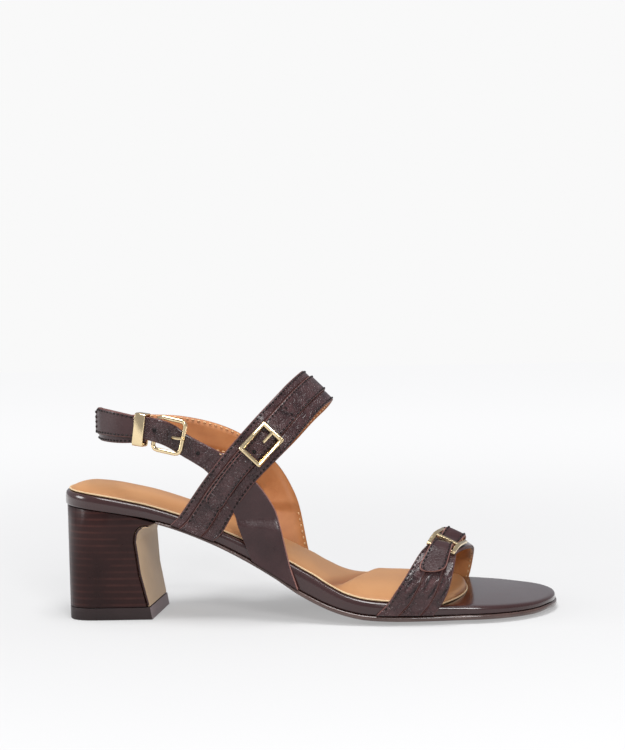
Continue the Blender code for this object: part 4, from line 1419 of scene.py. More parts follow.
    def punch(
        self, name: str, spots: Sequence[tuple[Vector, Vector]], finish: Finish, radius: float
    ) -> bpy.types.Object:
        """Punches holes at spots.

        Args:
            name: The piece's name.
            spots: Pairs of a point and the direction out of the leather.
            finish: The finish of the holes.
            radius: The radius of a hole.

        Returns:
            The piece.
        """
        mesh = bpy.data.meshes.new(name)
        mesh.from_pydata([spot for spot, _ in spots], [], [])
        layer = mesh.attributes.new("out", "FLOAT_VECTOR", "POINT")
        for item, (_, out) in zip(layer.data, spots):
            item.vector = out
        return self.run(linked(name, mesh), self.hole_tree, finish, {"Radius": radius})


def end_bow(corner_x: float, y: float, end: End) -> float:
    """How far the sole's round end lies beyond a corner.

    Args:
        corner_x: The corner's x.
        y: Place across the shoe.
        end: Heel or toe.

    Returns:
        The distance along x.
    """
    if end is End.HEEL:
        share = min(1.0, abs(y) / (BALL_WIDTH * OUTLINE[0][1]))
        bow = (1 - share**HEEL_POWER) ** (1 / HEEL_POWER)
        return x_at(HEEL_END) - HEEL_END * LENGTH * bow - corner_x
    side = Side.LATERAL if y < TOE_TIP_SHIFT else Side.MEDIAL
    wide = side.value * BALL_WIDTH * OUTLINE[-1][1 if side is Side.LATERAL else 2]
    share = min(1.0, (y - TOE_TIP_SHIFT) / (wide - TOE_TIP_SHIFT))
    return x_at(TOE_START) + (1 - TOE_START) * LENGTH * math.sqrt(1 - share**2) - corner_x


@dataclass
class Sheet:
    """A sheet of the sole in plan, from its back row to its front row."""

    name: str
    first: Row
    last: Row
    rows: int
    columns: int
    start_end: End
    front_end: End
    crowding: float = 0.55
    bow_start: float = 0.8
    bow_power: float = 1.5

    def grid(self) -> list[list[Vector]]:
        """The sheet's points in plan.

        Returns:
            Its rows from the back to the front, each from the lateral to the medial edge.
        """
        grid = []
        for i in range(self.rows + 1):
            share = i / self.rows
            eased = share - math.sin(2 * math.pi * share) / (2 * math.pi) * self.crowding
            left, right = (x_at(mix(self.first[k], self.last[k], eased)) for k in (0, 1))
            low, high = edge_y(left, Side.LATERAL), edge_y(right, Side.MEDIAL)
            row = []
            for j in range(self.columns + 1):
                across = j / self.columns
                x, y = mix(left, right, across), mix(low, high, across)
                for end, near, corner in (
                    (self.start_end, 1 - share, self.first), (self.front_end, share, self.last)
                ):
                    fade = max(0.0, (near - self.bow_start) / (1 - self.bow_start)) ** self.bow_power
                    if end is End.SOCK:
                        x += SOCK_FRONT_BOW * 4 * across * (1 - across) * fade
                    elif end is not End.STRAIGHT:
                        tip = x_at(mix(corner[0], corner[1], across))
                        sides = [edge_y(x_at(corner[k]), side) for k, side in enumerate(Side)]
                        x += end_bow(tip, mix(sides[0], sides[1], across), end) * fade
                row.append(Vector((x, y, 0)))
            grid.append(row)
        return grid

    def loop(self) -> list[tuple[int, int]]:
        """The grid's outer loop.

        Returns:
            Its row and column numbers in order.
        """
        rows, columns = self.rows, self.columns
        loop = [(0, j) for j in range(columns)] + [(i, columns) for i in range(rows)]
        return loop + [(rows, j) for j in range(columns, 0, -1)] + [(i, 0) for i in range(rows, 0, -1)]

    def outline(self, inset: float) -> list[Vector]:
        """The sheet's outline, moved inwards.

        Args:
            inset: By how much.

        Returns:
            Its points in plan.
        """
        grid = self.grid()
        points = [grid[i][j] for i, j in self.loop()]
        moved = []
        for k, point in enumerate(points):
            along = points[(k + 1) % len(points)] - points[k - 1]
            moved.append(point + Vector((along.y, -along.x, 0)).normalized() * inset)
        return moved

    def inside(self, row: Sequence[Vector], j: int, share: float, inset: float) -> tuple[float, float]:
        """Draws a grid point in from the outline, in step with the rim.

        Args:
            row: The point's row of the grid.
            j: Its place in the row.
            share: The row's share of the sheet's length.
            inset: How far the rim lies inside the outline.

        Returns:
            Its x and y.
        """
        middle = (row[0].y + row[-1].y) / 2
        half = max(inset * 2, (row[-1].y - row[0].y) / 2)
        return row[j].x + inset * (1 - 2 * share), middle + (row[j].y - middle) * (1 - inset / half)

    def build(self, bottom: Height, top: Height, rim: Sequence[Row]) -> bpy.types.Object:
        """Builds the sheet between two surfaces.

        Args:
            bottom: Its lower surface.
            top: Its upper surface.
            rim: Rows of inset and share of the height, from the bottom up.

        Returns:
            The object.
        """
        grid, loop = self.grid(), self.loop()
        points, rings, faces = [], [], []
        for inset, share in rim:
            rings.append(range(len(points), len(points) + len(loop)))
            for place in self.outline(inset):
                points.append(
                    Vector((place.x, place.y, mix(bottom(place.x, place.y), top(place.x, place.y), share)))
                )
        for lower, upper in zip(rings, rings[1:]):
            for k in range(len(loop)):
                after = (k + 1) % len(loop)
                faces.append((lower[k], lower[after], upper[after], upper[k]))
        for surface, ring, inset in ((bottom, rings[0], rim[0][0]), (top, rings[-1], rim[-1][0])):
            index = {pair: ring[k] for k, pair in enumerate(loop)}
            for i, row in enumerate(grid):
                for j, place in enumerate(row):
                    if (i, j) not in index:
                        index[(i, j)] = len(points)
                        x, y = self.inside(row, j, i / self.rows, inset)
                        points.append(Vector((x, y, surface(x, y))))
            for i in range(self.rows):
                for j in range(self.columns):
                    faces.append((index[(i, j)], index[(i, j + 1)], index[(i + 1, j + 1)], index[(i + 1, j)]))
        return solid(self.name, points, faces)


@dataclass
class Bottom:
    """The sole sheet, the leather-wrapped platform and the padded sock with its piping.

    The rims go from the bottom up. Their columns are the inset, in shares of the welt outwards for the
    sole and in metres inwards for the others, and the share of the sheet's height.
    """

    sole_rim: Table = ((3 / 7, 0.0), (0.8, 0.12), (1.0, 0.35), (1.0, 0.75), (0.5, 1.0))
    platform_rim: Table = (
        (0.0006, 0.0),
        (0.0001, 0.06),
        (0.0, 0.14),
        (0.0, 0.55),
        (0.0001, 0.72),
        (0.0004, 0.86),
        (0.0010, 0.96),
        (0.0019, 1.0),
    )
    sock_rim: Table = (
        (0.0002, 0.0),
        (0.0, 0.3),
        (0.0001, 0.6),
        (0.0005, 0.85),
        (0.0012, 0.97),
        (0.0020, 1.0),
    )
    wrap_start: float = 0.016
    toe_end: Row = (0.965, 0.972)
    toe_dome: float = 0.0008
    sock_start: float = 0.024
    sock_step: float = 0.0003
    sock_least: float = 0.0003
    sock_edge: float = 0.12
    crown_rise: float = 0.0008
    crown_power: float = 3.2
    half_least: float = 0.004
    back_round: float = 0.012
    back_power: float = 2.2
    crease_spread: float = 0.0024
    crease_depth: float = 0.0020
    ripple: float = 0.00016
    ripple_pitch: float = 0.0021
    ripple_reach: float = 0.007
    # Darkening of the sock: towards the edges, and painted shade in the crease and down the sides.
    edge_tint: float = 0.34
    edge_reach: float = 0.0045
    crease_shade_tint: float = 0.9
    crease_shade_reach: float = 0.0030
    side_shade_tint: float = 0.7
    side_drop: float = 0.0012
    piping: float = 0.00042
    piping_seat: float = 0.7
    padding_fill: float = 0.6

    def build(self) -> None:
        """Builds and dresses the four pieces."""
        toe = self.toe_end
        sole = Sheet("sole_sheet", (OUTSOLE_START,) * 2, toe, 70, 18, End.STRAIGHT, End.TOE)
        rim = [(-OUTSOLE_WELT * out, share) for out, share in self.sole_rim]
        dress(sole.build(underside, outsole_top, rim), FINISHES.sole, stands_for=("outsole",))
        wrap = Sheet("wrapped_platform", (self.wrap_start,) * 2, toe, 96, 28, End.HEEL, End.TOE)
        made = wrap.build(rand_bottom, self.platform_top, self.platform_rim)
        dress(made, FINISHES.polished, stands_for=("platform",))
        self.build_sock()

    def platform_top(self, x: float, y: float) -> float:
        """The platform's top, slightly domed in front of the sock.

        Args:
            x: Place along the shoe.
            y: Place across it.

        Returns:
            The height in metres.
        """
        toe = max(0.0, (station_at(x) - SOCK_FRONT_LATERAL) / (1 - SOCK_FRONT_LATERAL))
        reach = min(1.0, abs(y) / (BALL_WIDTH / 2))
        return rand_top(x) + self.toe_dome * math.sin(math.pi * min(1.0, toe)) * (1 - reach**2)

    def across(self, y: float) -> float:
        """The share that the slanted lines of the sock take from their medial ends."""
        return mix(0.5, 1.0, max(-1.0, min(1.0, y / (BALL_WIDTH / 2))))

    def edge_reach_at(self, x: float, y: float) -> float:
        """The distance from the middle line to the sock's edge."""
        return abs(edge_y(x, Side.MEDIAL if y > 0 else Side.LATERAL)) - INSOLE_MARGIN

    def crease_x(self, y: float) -> float:
        """Where the sock's diagonal crease lies at a place across the shoe."""
        return x_at(mix(CREASE_LATERAL, CREASE_MEDIAL, self.across(y)))

    def sock_bottom(self, x: float, y: float) -> float:
        """The sock's lower surface."""
        return rand_top(x) + self.sock_step

    def sock_top(self, x: float, y: float) -> float:
        """The sock's padded top, with its crease and the ball pad in front of it.

        Args:
            x: Place along the shoe.
            y: Place across it.

        Returns:
            The height in metres.
        """
        crease = self.crease_x(y)
        front = x_at(mix(SOCK_FRONT_LATERAL, SOCK_FRONT_MEDIAL, self.across(y))) + SOCK_FRONT_BOW
        place = (x - crease) / (crease + HEEL_OVERHANG) if x < crease else (x - crease) / (front - crease)
        half = max(self.half_least, self.edge_reach_at(x, y))
        crown = 1 - min(1.0, abs(y) / half) ** self.crown_power
        from_back = max(0.0, min(1.0, (x + HEEL_OVERHANG - INSOLE_MARGIN) / self.back_round))
        crown *= 1 - (1 - from_back) ** self.back_power
        padding = INSOLE_THICK * mix(self.sock_edge, smooth(PADDING, 1, place), crown)
        thick = padding + self.crown_rise * crown + self.sock_least
        away = x - crease
        trough = self.crease_depth * math.exp(-((away / self.crease_spread) ** 2)) * crown
        wave = self.ripple * math.sin(away / self.ripple_pitch)
        ripple = wave * math.exp(-((away / self.ripple_reach) ** 2)) * crown
        return rand_top(x) + self.sock_step + thick - trough + ripple

    def build_sock(self) -> None:
        """Builds the padded sock and the cream piping round it."""
        front = (SOCK_FRONT_LATERAL, SOCK_FRONT_MEDIAL)
        plan = Sheet("padded_sock", (self.sock_start,) * 2, front, 150, 30, End.HEEL, End.SOCK)
        rim = [(INSOLE_MARGIN + inset, share) for inset, share in self.sock_rim]
        sock = plan.build(self.sock_bottom, self.sock_top, rim)
        # The fold attribute holds painted shade in the crease and down the sides, and darkening towards the
        # edges.
        mark(sock, "fold", self.sock_painted_shade)
        dress(sock, FINISHES.sock, stands_for=("insole",))
        line = [
            Vector((p.x, p.y, self.sock_bottom(p.x, p.y) + self.piping))
            for p in plan.outline(INSOLE_MARGIN - self.piping * self.piping_seat)
        ]
        dress(tube("sock_piping", line, self.piping, True), FINISHES.piping)

    def sock_painted_shade(self, co: Vector) -> float:
        """How dark the sock's colour is: painted shade in the crease and down the side, and darker towards
        the edges.

        Args:
            co: A point of the sock.

        Returns:
            The depth from 0 to 1.
        """
        far = self.edge_reach_at(co.x, co.y) - abs(co.y)
        edge = self.edge_tint * math.exp(-max(0.0, far) / self.edge_reach)
        away = (co.x - self.crease_x(co.y)) / self.crease_shade_reach
        crease = math.exp(-(away**2)) * self.crease_shade_tint
        below = self.side_shade_tint if co.z < self.sock_top(co.x, co.y) - self.side_drop else 0.0
        return max(edge, crease, below)


@dataclass
class HeelParts:
    """The stacked block, the sheet down its front and the top piece under it."""

    round_edge: float = 0.0004
    cover_edge: float = 0.0005
    side_facing: float = 0.9
    front_facing: float = 0.6

    def build(self) -> None:
        """Dresses rounded copies of the heel's solids."""
        block = merged_copy("heel_block", "stacked_heel_block", self.round_edge)
        dress(block, FINISHES.stack, stands_for=("heel_block",))
        cover = merged_copy("heel_breast_cover", "breast_cover_sheet", self.cover_edge)
        self.slots(cover, lambda normal: abs(normal.y) > self.side_facing)
        dress(cover, FINISHES.cover, FINISHES.leather, stands_for=("heel_breast_cover",))
        lift = merged_copy("heel_lift", "heel_top_piece", self.round_edge)
        self.slots(lift, lambda normal: normal.x > self.front_facing)
        dress(lift, FINISHES.rubber, FINISHES.lift_front, stands_for=("heel_lift",))

    def slots(self, obj: bpy.types.Object, second: Callable[[Vector], bool]) -> None:
        """Gives some of a piece's faces its second finish.

        Args:
            obj: The piece.
            second: Whether a face with this normal is one of them.
        """
        for polygon in obj.data.polygons:
            polygon.material_index = int(second(polygon.normal))


def merged_copy(
    node: str, name: str, bevel: float, angle: float = 40.0, sharp: float = 55.0
) -> bpy.types.Object:
    """Copies a CAD node as a clean mesh with rounded edges.

    Args:
        node: The CAD node.
        name: The new piece's name.
        bevel: Width of the rounding, or 0 for none.
        angle: Edges sharper than this many degrees are rounded.
        sharp: Edges sharper than this many degrees stay sharp in the shading.

    Returns:
        The new object.
    """
    form = bmesh.new()
    form.from_mesh(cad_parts[node].data)
    bmesh.ops.remove_doubles(form, verts=form.verts, dist=CAD_WELD)
    bmesh.ops.dissolve_limit(form, angle_limit=math.radians(1.0), verts=form.verts, edges=form.edges)
    bmesh.ops.recalc_face_normals(form, faces=form.faces)
    mesh = bpy.data.meshes.new(name)
    form.to_mesh(mesh)
    form.free()
    mesh.materials.clear()
    mesh.shade_smooth()
    obj = linked(name, mesh)
    if bevel:
        rounding = obj.modifiers.new("rounding", "BEVEL")
        rounding.width = bevel
        rounding.segments = 2
        rounding.limit_method = "ANGLE"
        rounding.angle_limit = math.radians(angle)
        rounding.harden_normals = True
        graph = bpy.context.evaluated_depsgraph_get()
        obj.data = bpy.data.meshes.new_from_object(obj.evaluated_get(graph))
        obj.modifiers.clear()
    obj.data.set_sharp_from_angle(angle=math.radians(sharp))
    return obj


@dataclass
class Hardware:
    """The gold buckles, their prongs and the keeper."""

    rounding: float = 0.00035

    def build(self) -> None:
        """Dresses copies of the metal solids, the buckles and the keeper rounded, the prongs not."""
        for node in ("band_buckle", "vamp_buckle", "sling_buckle", "sling_keeper"):
            dress(merged_copy(node, f"gold_{node}", self.rounding), FINISHES.gold, stands_for=(node,))
        for node in ("band_prong", "sling_prong"):
            dress(merged_copy(node, f"gold_{node}", 0.0), FINISHES.gold, stands_for=(node,))


@dataclass
class RearUpper:
    """The instep band with the quarters and the sling that cross it."""

    half: float = INSTEP_WIDTH / 2
    crest_lead: float = 0.3
    cross_reach: float = 0.016
    cross_fade: float = 0.35
    cross_depth: float = 0.0015
    cross_height: float = 0.062
    backing_width: Row = (0.004, 0.996)
    backing_share: float = 0.5
    strip_base: float = 0.45
    strip_top: float = 1.38
    lining_sink: float = 0.00012
    sling_thread: float = 0.00008
    band_thread: float = 0.00005
    strip_thread: float = 0.00006
    band_span: Row = (0.03, 0.97)
    end_span: Row = (0.80, 0.985)
    heel_span: Row = (0.60, 0.97)
    lining_start: float = 0.02
    lining_ends: Row = (0.60, 0.45)
    lining_rows: Row = (0.07, 0.93)
    band_lining_rows: Row = (0.05, 0.95)
    end_rows: Row = (0.09, 0.91)
    heel_rows: Row = (0.10, 0.90)
    band_rows: Row = (0.05, 0.955)
    strip_rows: Row = (0.255, 0.66)
    box_row: Row = (0.36, 0.56)
    keeper_window: Row = (0.6, 0.97)
    cross_window: Row = (0.2, 0.6)
    box_window: Row = (0.2, 0.5)
    hole_window: Row = (0.5, 0.95)
    tab_window: Row = (0.2, 0.45)
    backing_steps: int = 150
    strap_steps: int = 240
    part_steps: int = 120
    end_steps: int = 40
    hole: float = 0.0008
    sling_holes: Row = (0.0245, 0.0440, 0.0325)
    sling_hole_width: float = 0.48
    hole_sink: float = 0.00002
    tab_hole_height: float = 0.0785
    tab_hole_rise: float = 0.1
    box_stitch_height: float = 0.0945
    band: Strap = field(init=False)
    lateral: Strap = field(init=False)
    medial: Strap = field(init=False)

    def __post_init__(self) -> None:
        """Lays out the three straps."""
        lead = BAND_MEDIAL_LEAD
        rows = seat_rows(BAND_SEATS, Side.LATERAL)
        rows += [free_row(row, Side.LATERAL, self.half) for row in INSTEP_BAND[:-1]]
        rows.append(free_row(INSTEP_BAND[-1], Side.LATERAL, self.half, lead * self.crest_lead))
        rows += [free_row(row, Side.MEDIAL, self.half, lead) for row in INSTEP_BAND[-2::-1]]
        seats = [tuple(station + lead for station in pair) for pair in BAND_SEATS]
        rows += seat_rows(seats, Side.MEDIAL)[::-1]
        self.band = self.lay("band", rows, BAND_CREASES)
        rows = seat_rows(LATERAL_SEATS, Side.LATERAL)
        rows += [free_row(row, Side.LATERAL, self.half) for row in LATERAL_QUARTER + LATERAL_SLING]
        rows += [turn_row(row, SLING_THICK + CLEARANCE * 2) for row in BILLET_TURN]
        self.lateral = self.lay("lateral", rows, LATERAL_CREASES)
        rows = seat_rows(MEDIAL_SEATS, Side.MEDIAL)
        rows += [free_row(row, Side.MEDIAL, self.half) for row in MEDIAL_QUARTER + MEDIAL_SLING]
        rows += [turn_row(row, 0.0) for row in HEEL_TURN]
        rows.append(free_row(HEEL_STRAP_END, Side.LATERAL, self.half))
        self.medial = self.lay("medial", rows, MEDIAL_CREASES)

    def lay(self, name: str, rows: Sequence[tuple[Vector, Vector]], creases: Table) -> Strap:
        """Lays one strap on its rows.

        Args:
            name: The strap's name.
            rows: Its given rows.
            creases: Its creases' table.

        Returns:
            The strap.
        """
        return Strap(name, refine(rows, FINE_ROWS), away_from_foot, [Crease(*row) for row in creases])

    def build(self, sewing: Stitching) -> None:
        """Builds the straps, their linings, stitches and holes.

        Args:
            sewing: The stitch and hole trees.
        """
        skins = (FINISHES.leather, FINISHES.lining, FINISHES.edge)
        low, high = SLING_INSET, SLING_INSET + SLING_THICK
        heights = (STRAP_THICK * self.backing_share,) * 2
        backing = self.band.layer(
            "band_backing", (0.0, 1.0), self.backing_width, 0.0, heights, self.backing_steps
        )
        dress(backing, *skins, stands_for=("rear_upper",))
        for k, (start, end, first, last) in enumerate(BAND_STRIPS):
            heights = (STRAP_THICK * first, STRAP_THICK * last)
            base = STRAP_THICK * self.strip_base
            strip = self.band.layer(
                f"band_strip_{k}", (0.0, 1.0), (start, end), base, heights, self.strap_steps
            )
            dress(strip, FINISHES.tumbled, FINISHES.lining, FINISHES.edge)
        cross = self.crossing(self.lateral)
        under = self.sink(self.lateral, cross)
        whole, both, steps = (0.0, 1.0), (high, high), self.part_steps
        quarter = self.lateral.layer("lateral_quarter", (0.0, cross), whole, low, both, steps, lift=under)
        dress(quarter, *skins, FINISHES.raw)
        middle = sum(corner.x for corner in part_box("sling_keeper")) / 2
        keeper = self.lateral.share_at(0, middle, *self.keeper_window)
        sling = self.lateral.layer("lateral_sling", (cross, keeper), whole, low, both, steps, lift=under)
        dress(sling, FINISHES.cracked, FINISHES.lining, FINISHES.edge)
        tip = self.lateral.layer("sling_strap_end", (keeper, 1.0), whole, low, both, self.end_steps)
        dress(tip, *skins)
        under = self.sink(self.medial, self.crossing(self.medial))
        strap = self.medial.layer(
            "medial_quarter_and_heel_strap", whole, whole, low, both, self.strap_steps, lift=under
        )
        dress(strap, *skins)
        self.sew(sewing, low, high)

    def crossing(self, strap: Strap) -> float:
        """The share of a strap's length at which it passes under the band."""
        return strap.share_at(2, self.cross_height, *self.cross_window)

    def sink(self, strap: Strap, cross: float) -> Height:
        """How a strap dips under the band where they cross.

        Args:
            strap: The strap.
            cross: Share of its length at the crossing.

        Returns:
            The dip by share of its length and width.
        """

        def dip(u: float, v: float) -> float:
            """The strap's height against its own rows.

            Args:
                u: Share of the strap's length.
                v: Share of its width.

            Returns:
                The height in metres.
            """
            away = abs(u - cross) * strap.run[-1]
            ramp = self.cross_reach * self.cross_fade
            fade = max(0.0, min(1.0, (self.cross_reach + ramp - away) / ramp))
            return -self.cross_depth * fade * fade * (3 - 2 * fade)

        return dip

    def sew(self, sewing: Stitching, low: float, high: float) -> None:
        """Adds the stitches and the punched holes.

        Args:
            sewing: The stitch and hole trees.
            low: Height of the sling's inner face.
            high: Height of its outer face.
        """
        inner = low - self.lining_sink
        rows = []
        for strap, end in zip((self.medial, self.lateral), self.lining_ends):
            cross, reach = self.crossing(strap), self.cross_reach * (1 + self.cross_fade) / strap.run[-1]
            for v in self.lining_rows:
                rows.append(strap.line((self.lining_start, cross - reach), v, inner))
                rows.append(strap.line((cross + reach, end), v, inner))
        steps = self.part_steps
        rows += [self.band.line(self.band_span, v, -self.lining_sink, steps) for v in self.band_lining_rows]
        sewing.sew("lining_stitches", rows, LINING_THREAD)
        top = high + self.sling_thread
        rows = [self.lateral.line(self.end_span, v, top) for v in self.end_rows]
        rows.append([self.lateral.at(self.end_span[1], mix(*self.end_rows, k / 12), top) for k in range(13)])
        band_top = STRAP_THICK + self.band_thread
        rows += [self.band.line(self.band_span, v, band_top, steps) for v in self.band_rows]
        strip_top = STRAP_THICK * self.strip_top + self.strip_thread
        rows += [self.band.line(self.band_span, v, strip_top, steps) for v in self.strip_rows]
        rows += [self.medial.line(self.heel_span, v, top) for v in self.heel_rows]
        mid = self.band.share_at(2, self.box_stitch_height, *self.box_window)
        rows.append([self.band.at(mid, mix(*self.box_row, k / 8), strip_top) for k in range(9)])
        sewing.sew("leather_stitches", rows, STRAP_THREAD)
        spots, v = [], self.sling_hole_width
        for x in self.sling_holes:
            u = self.lateral.share_at(0, x, *self.hole_window)
            spots.append((self.lateral.at(u, v, high - self.hole_sink), self.lateral.out(u, v)))
        u = self.band.share_at(2, self.tab_hole_height, *self.tab_window)
        rise = TAB_THICK + BAND_TAB_RISE + BAR * self.tab_hole_rise
        spots.append((self.band.at(u, 0.5, rise), self.band.out(u, 0.5)))
        # The holes are near-black discs of painted shade with dark rims.
        sewing.punch("punched_holes", spots, FINISHES.hole, self.hole)


@dataclass
class Tabs:
    """The strap ends that come out of the two decorative buckles."""

    band_lift: Table = ((0.0, 0.0), (0.3, 0.1), (0.6, 0.3), (1.0, 0.3))
    vamp_lift: Table = (
        (0.0, 0.4),
        (0.07, 1.05),
        (0.14, 1.30),
        (0.20, 1.0),
        (0.28, 0.2),
        (0.36, 0.0),
        (0.49, 0.0),
        (0.60, 0.92),
        (0.656, 1.08),
        (0.728, 0.95),
        (0.88, 0.3),
        (1.0, 0.05),
    )
    buckle_half: float = 0.0042
    edge_dip: float = 0.00018
    row_share: float = 0.80
    row_end: float = 0.97
    row_steps: int = 30
    thread_rise: float = 0.00006
    band_ends: Row = (0.750, 0.482)
    vamp_ends: Row = (0.17, 0.975)
    vamp_windows: Table = ((0.2, 0.6), (0.16, 0.6))
    steps: int = 60

    def tab(
        self,
        strap: Strap,
        name: str,
        node: str,
        start: float,
        end: float,
        raised: float,
        lifts: Table,
        skin: Finish,
        sewing: Stitching,
    ) -> None:
        """Builds one tab with its stitched border.

        Args:
            strap: The strap that it lies on.
            name: The piece's name.
            node: The CAD node that it replaces.
            start: Where it comes out, as a share of the strap's length.
            end: Where its round end lies.
            raised: Height of its inner face over the strap's inner face.
            lifts: Its extra lift in bars by share of its length.
            skin: The finish of its face.
            sewing: The stitch and hole trees.
        """
        strap = Strap(strap.name, strap.rows, strap.outward)
        share = self.buckle_half / strap.wide((start + end) / 2)

        def lift(u: float, v: float) -> float:
            """The tab's lift over the strap at a place."""
            place = (u - start) / (end - start)
            return BAR * smooth(lifts, 1, place) - self.edge_dip * abs((v - 0.5) / share) ** 3

        heights = (raised + TAB_THICK, raised + TAB_THICK)
        across = (0.5 - share, 0.5 + share)
        obj = strap.layer(
            name, (start, end), across, raised, heights, self.steps, self.buckle_half, lift
        )
        edge = FINISHES.edge if skin is FINISHES.tumbled else FINISHES.raw
        dress(obj, skin, FINISHES.lining, edge, stands_for=(node,))
        rows = []
        for sign in (-1, 1):
            line = []
            for k in range(self.row_steps + 1):
                place = k / self.row_steps * self.row_end
                near = max(0.0, 1 - (1 - place) * abs(end - start) * strap.run[-1] / self.buckle_half)
                half = share * self.row_share * math.sqrt(max(0.0, 1 - near * near))
                u = mix(start, end, place)
                height = heights[0] + lift(u, 0.5) + self.thread_rise
                line.append(strap.at(u, 0.5 + sign * half, height))
            rows.append(line)
        sewing.sew(f"{name}_stitches", rows, TAB_THREAD)

    def build(self, band: Strap, vamp: Strap, sewing: Stitching) -> None:
        """Builds both tabs on their straps.

        Args:
            band: The instep band.
            vamp: The vamp strap.
            sewing: The stitch and hole trees.
        """
        start, end = (band.share_at(2, share * INSTEP_HEIGHT, 0.0, 0.5) for share in self.band_ends)
        lift, skin = self.band_lift, FINISHES.tumbled
        self.tab(band, "band_strap_end", "band_tab", start, end, BAND_TAB_RISE, lift, skin, sewing)
        half = -BALL_WIDTH / 2
        start = vamp.share_at(1, half * self.vamp_ends[0], *self.vamp_windows[0])
        end = vamp.share_at(1, half * self.vamp_ends[1], *self.vamp_windows[1])
        lift, skin = self.vamp_lift, FINISHES.leather
        self.tab(vamp, "vamp_strap_end", "vamp_tab", start, end, VAMP_TAB_RISE, lift, skin, sewing)


@dataclass
class VampStrap:
    """The strap over the toes: a lined backing with three strips that overlap like shingles."""

    pucker: float = 1.6
    backing_width: Row = (0.004, 0.996)
    backing_share: float = 0.45
    strip_base: float = 0.42
    thread_height: float = 0.86
    row_place: float = 0.05
    lining_sink: float = 0.0001
    lining_rows: Row = (0.06, 0.94)
    whole_span: Row = (0.03, 0.97)
    spans: Table = ((0.03, 0.36), (0.55, 0.97))
    backing_steps: int = 120
    strip_steps: int = 220
    strap: Strap = field(init=False)

    def __post_init__(self) -> None:
        """Lays out the strap."""
        rows = seat_rows(VAMP_LATERAL_SEATS, Side.LATERAL)
        rows += [free_row(row, Side.MEDIAL, BALL_WIDTH / 2) for row in VAMP]
        rows += seat_rows(VAMP_MEDIAL_SEATS, Side.MEDIAL)[::-1]
        creases = [Crease(*row[:5], row[5] * self.pucker) for row in VAMP_CREASES]
        self.strap = Strap("vamp", refine(rows, FINE_ROWS), above_toes, creases)

    def build(self, sewing: Stitching) -> None:
        """Builds the backing, the strips and the stitches.

        Args:
            sewing: The stitch and hole trees.
        """
        heights = (VAMP_THICK * self.backing_share,) * 2
        steps = self.backing_steps
        backing = self.strap.layer("vamp_backing", (0.0, 1.0), self.backing_width, 0.0, heights, steps)
        dress(backing, FINISHES.leather, FINISHES.lining, FINISHES.edge, stands_for=("vamp_strap",))
        for k, (start, end, first, last) in enumerate(VAMP_STRIPS):
            heights = (VAMP_THICK * first, VAMP_THICK * last)
            base = VAMP_THICK * self.strip_base
            strip = self.strap.layer(
                f"vamp_strip_{k}", (0.0, 1.0), (start, end), base, heights, self.strip_steps
            )
            dress(strip, FINISHES.tumbled, FINISHES.lining, FINISHES.edge)
        height = VAMP_THICK * self.thread_height
        rows = [self.strap.line(span, self.row_place, height) for span in self.spans]
        sewing.sew("vamp_stitches", rows, VAMP_THREAD)
        rows = [self.strap.line(self.whole_span, v, -self.lining_sink, steps) for v in self.lining_rows]
        sewing.sew("vamp_lining_stitches", rows, LINING_THREAD)


@dataclass(frozen=True)
class Lamp:
    """A square soft lamp: its place, what it faces, its side in metres and its power in watts."""

    name: str
    place: Row
    goal: Row
    size: float
    power: float


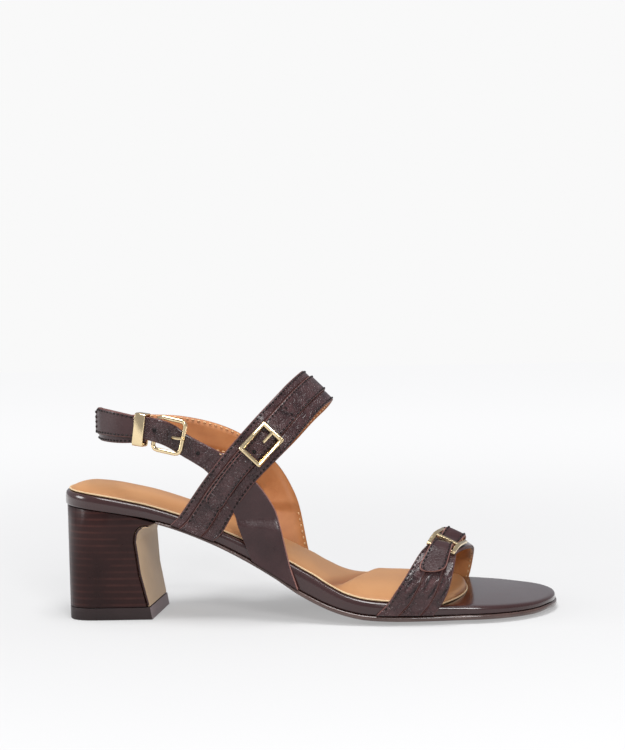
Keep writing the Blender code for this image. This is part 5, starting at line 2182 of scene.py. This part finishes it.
@dataclass
class Studio:
    """The pale floor, the soft light and the camera of the photograph."""

    lamps: tuple[Lamp, ...] = (
        Lamp("top_box", (0.05, -0.25, 1.3), (0.0, 0.0, 0.0), 0.7, 17.0),
        Lamp("heel_box", (-1.0, -0.15, 0.45), (0.0, 0.0, 0.05), 0.4, 4.5),
        Lamp("front_box", (0.45, -1.2, 0.75), (0.1, 0.0, 0.03), 0.35, 8.0),
    )
    floor_gap: float = 0.0002
    floor_roughness: float = 0.9
    sensor: float = 36.0
    floor_grey: Row = (0.36, 0.36, 0.36, 1.0)
    world_tint: Row = (0.35, 0.352, 0.375, 1.0)
    level: float = 0.947
    floor_reach: float = 6.0
    distance: float = 0.643
    height: float = 0.128
    middle: float = 0.096
    pitch: float = 1.45
    roll: float = -1.0
    focal: float = 1352.0
    frame_height: float = 750.0
    glow: float = 0.812
    lamp_share: float = 0.47
    lamp_reach: float = 1.02

    def build(self) -> None:
        """Sets up floor, world, lights and camera."""
        mesh = bpy.data.meshes.new("studio_floor")
        reach = self.floor_reach
        mesh.from_pydata(
            [(-reach, -reach, 0), (reach, -reach, 0), (reach, reach, 0), (-reach, reach, 0)],
            [],
            [(0, 1, 2, 3)],
        )
        floor = linked("studio_floor", mesh)
        floor.location.z = -self.floor_gap
        skin = bpy.data.materials.new("pale_floor")
        skin.use_nodes = True
        shader = skin.node_tree.nodes["Principled BSDF"]
        shader.inputs["Base Color"].default_value = self.floor_grey
        shader.inputs["Roughness"].default_value = self.floor_roughness
        shader.inputs["Specular IOR Level"].default_value = 0.0
        shader.inputs["Emission Strength"].default_value = 1.0
        skin.node_tree.links.new(self.even(Graph(skin.node_tree)), shader.inputs["Emission Color"])
        mesh.materials.append(skin)
        bpy.context.scene.view_settings.view_transform = "Standard"
        self.light()
        self.aim()

    def even(self, graph: Graph) -> bpy.types.NodeSocket:
        """The floor's own glow, weaker where the lamps light it, so that it looks level.

        Args:
            graph: The floor material's graph.

        Returns:
            The glow's socket.
        """
        place = graph.add("ShaderNodeTexCoord").outputs["Object"]
        far = graph.add("ShaderNodeVectorMath", {0: place}, operation="LENGTH").outputs["Value"]
        spread = graph.sum(graph.sum(graph.sum(far, self.lamp_reach, "DIVIDE"), 2.0, "POWER"), 1.0)
        return graph.sum(
            self.glow, graph.sum(self.lamp_share, graph.sum(spread, 2.0, "POWER"), "DIVIDE"), "SUBTRACT"
        )

    def light(self) -> None:
        """A pale world with soft lamps above, behind the heel and in front."""
        world = bpy.data.worlds.new("studio")
        world.use_nodes = True
        graph = Graph(world.node_tree)
        back = world.node_tree.nodes["Background"]
        back.inputs["Color"].default_value = self.world_tint
        seen = graph.add("ShaderNodeBackground", {"Color": (1, 1, 1, 1), "Strength": self.level})
        path = graph.add("ShaderNodeLightPath")
        both = graph.add(
            "ShaderNodeMixShader", {0: path.outputs["Is Camera Ray"], 1: back.outputs[0], 2: seen.outputs[0]}
        )
        world.node_tree.links.new(both.outputs[0], world.node_tree.nodes["World Output"].inputs[0])
        bpy.context.scene.world = world
        for lamp in self.lamps:
            data = bpy.data.lights.new(lamp.name, "AREA")
            data.shape, data.size, data.energy = "SQUARE", lamp.size, lamp.power
            look = Vector(lamp.goal) - Vector(lamp.place)
            turn = look.to_track_quat("-Z", "Y").to_matrix().to_4x4()
            linked(lamp.name, data).matrix_world = Matrix.Translation(lamp.place) @ turn

    def aim(self) -> None:
        """Sets the camera to the photograph's view."""
        lens = bpy.data.cameras.new("photo_camera")
        lens.sensor_fit = "VERTICAL"
        lens.sensor_height = self.sensor
        lens.lens = lens.sensor_height * self.focal / self.frame_height
        lens.dof.use_dof = False
        camera = linked("photo_camera", lens)
        spot = Matrix.Translation((self.middle, -self.distance, self.height))
        tilt = Matrix.Rotation(math.pi / 2 - math.radians(self.pitch), 4, "X")
        camera.matrix_world = spot @ tilt @ Matrix.Rotation(math.radians(self.roll), 4, "Z")
        bpy.context.scene.camera = camera


def main() -> None:
    """Builds the sandal piece by piece, then the studio round it."""
    logging.basicConfig(level=logging.INFO, format="%(name)s: %(message)s")
    sewing = Stitching()
    Bottom().build()
    HeelParts().build()
    rear = RearUpper()
    rear.build(sewing)
    vamp = VampStrap()
    vamp.build(sewing)
    Tabs().build(rear.band, vamp.strap, sewing)
    Hardware().build()
    Studio().build()
    LOG.info("done")


if __name__ == "__main__":
    main()
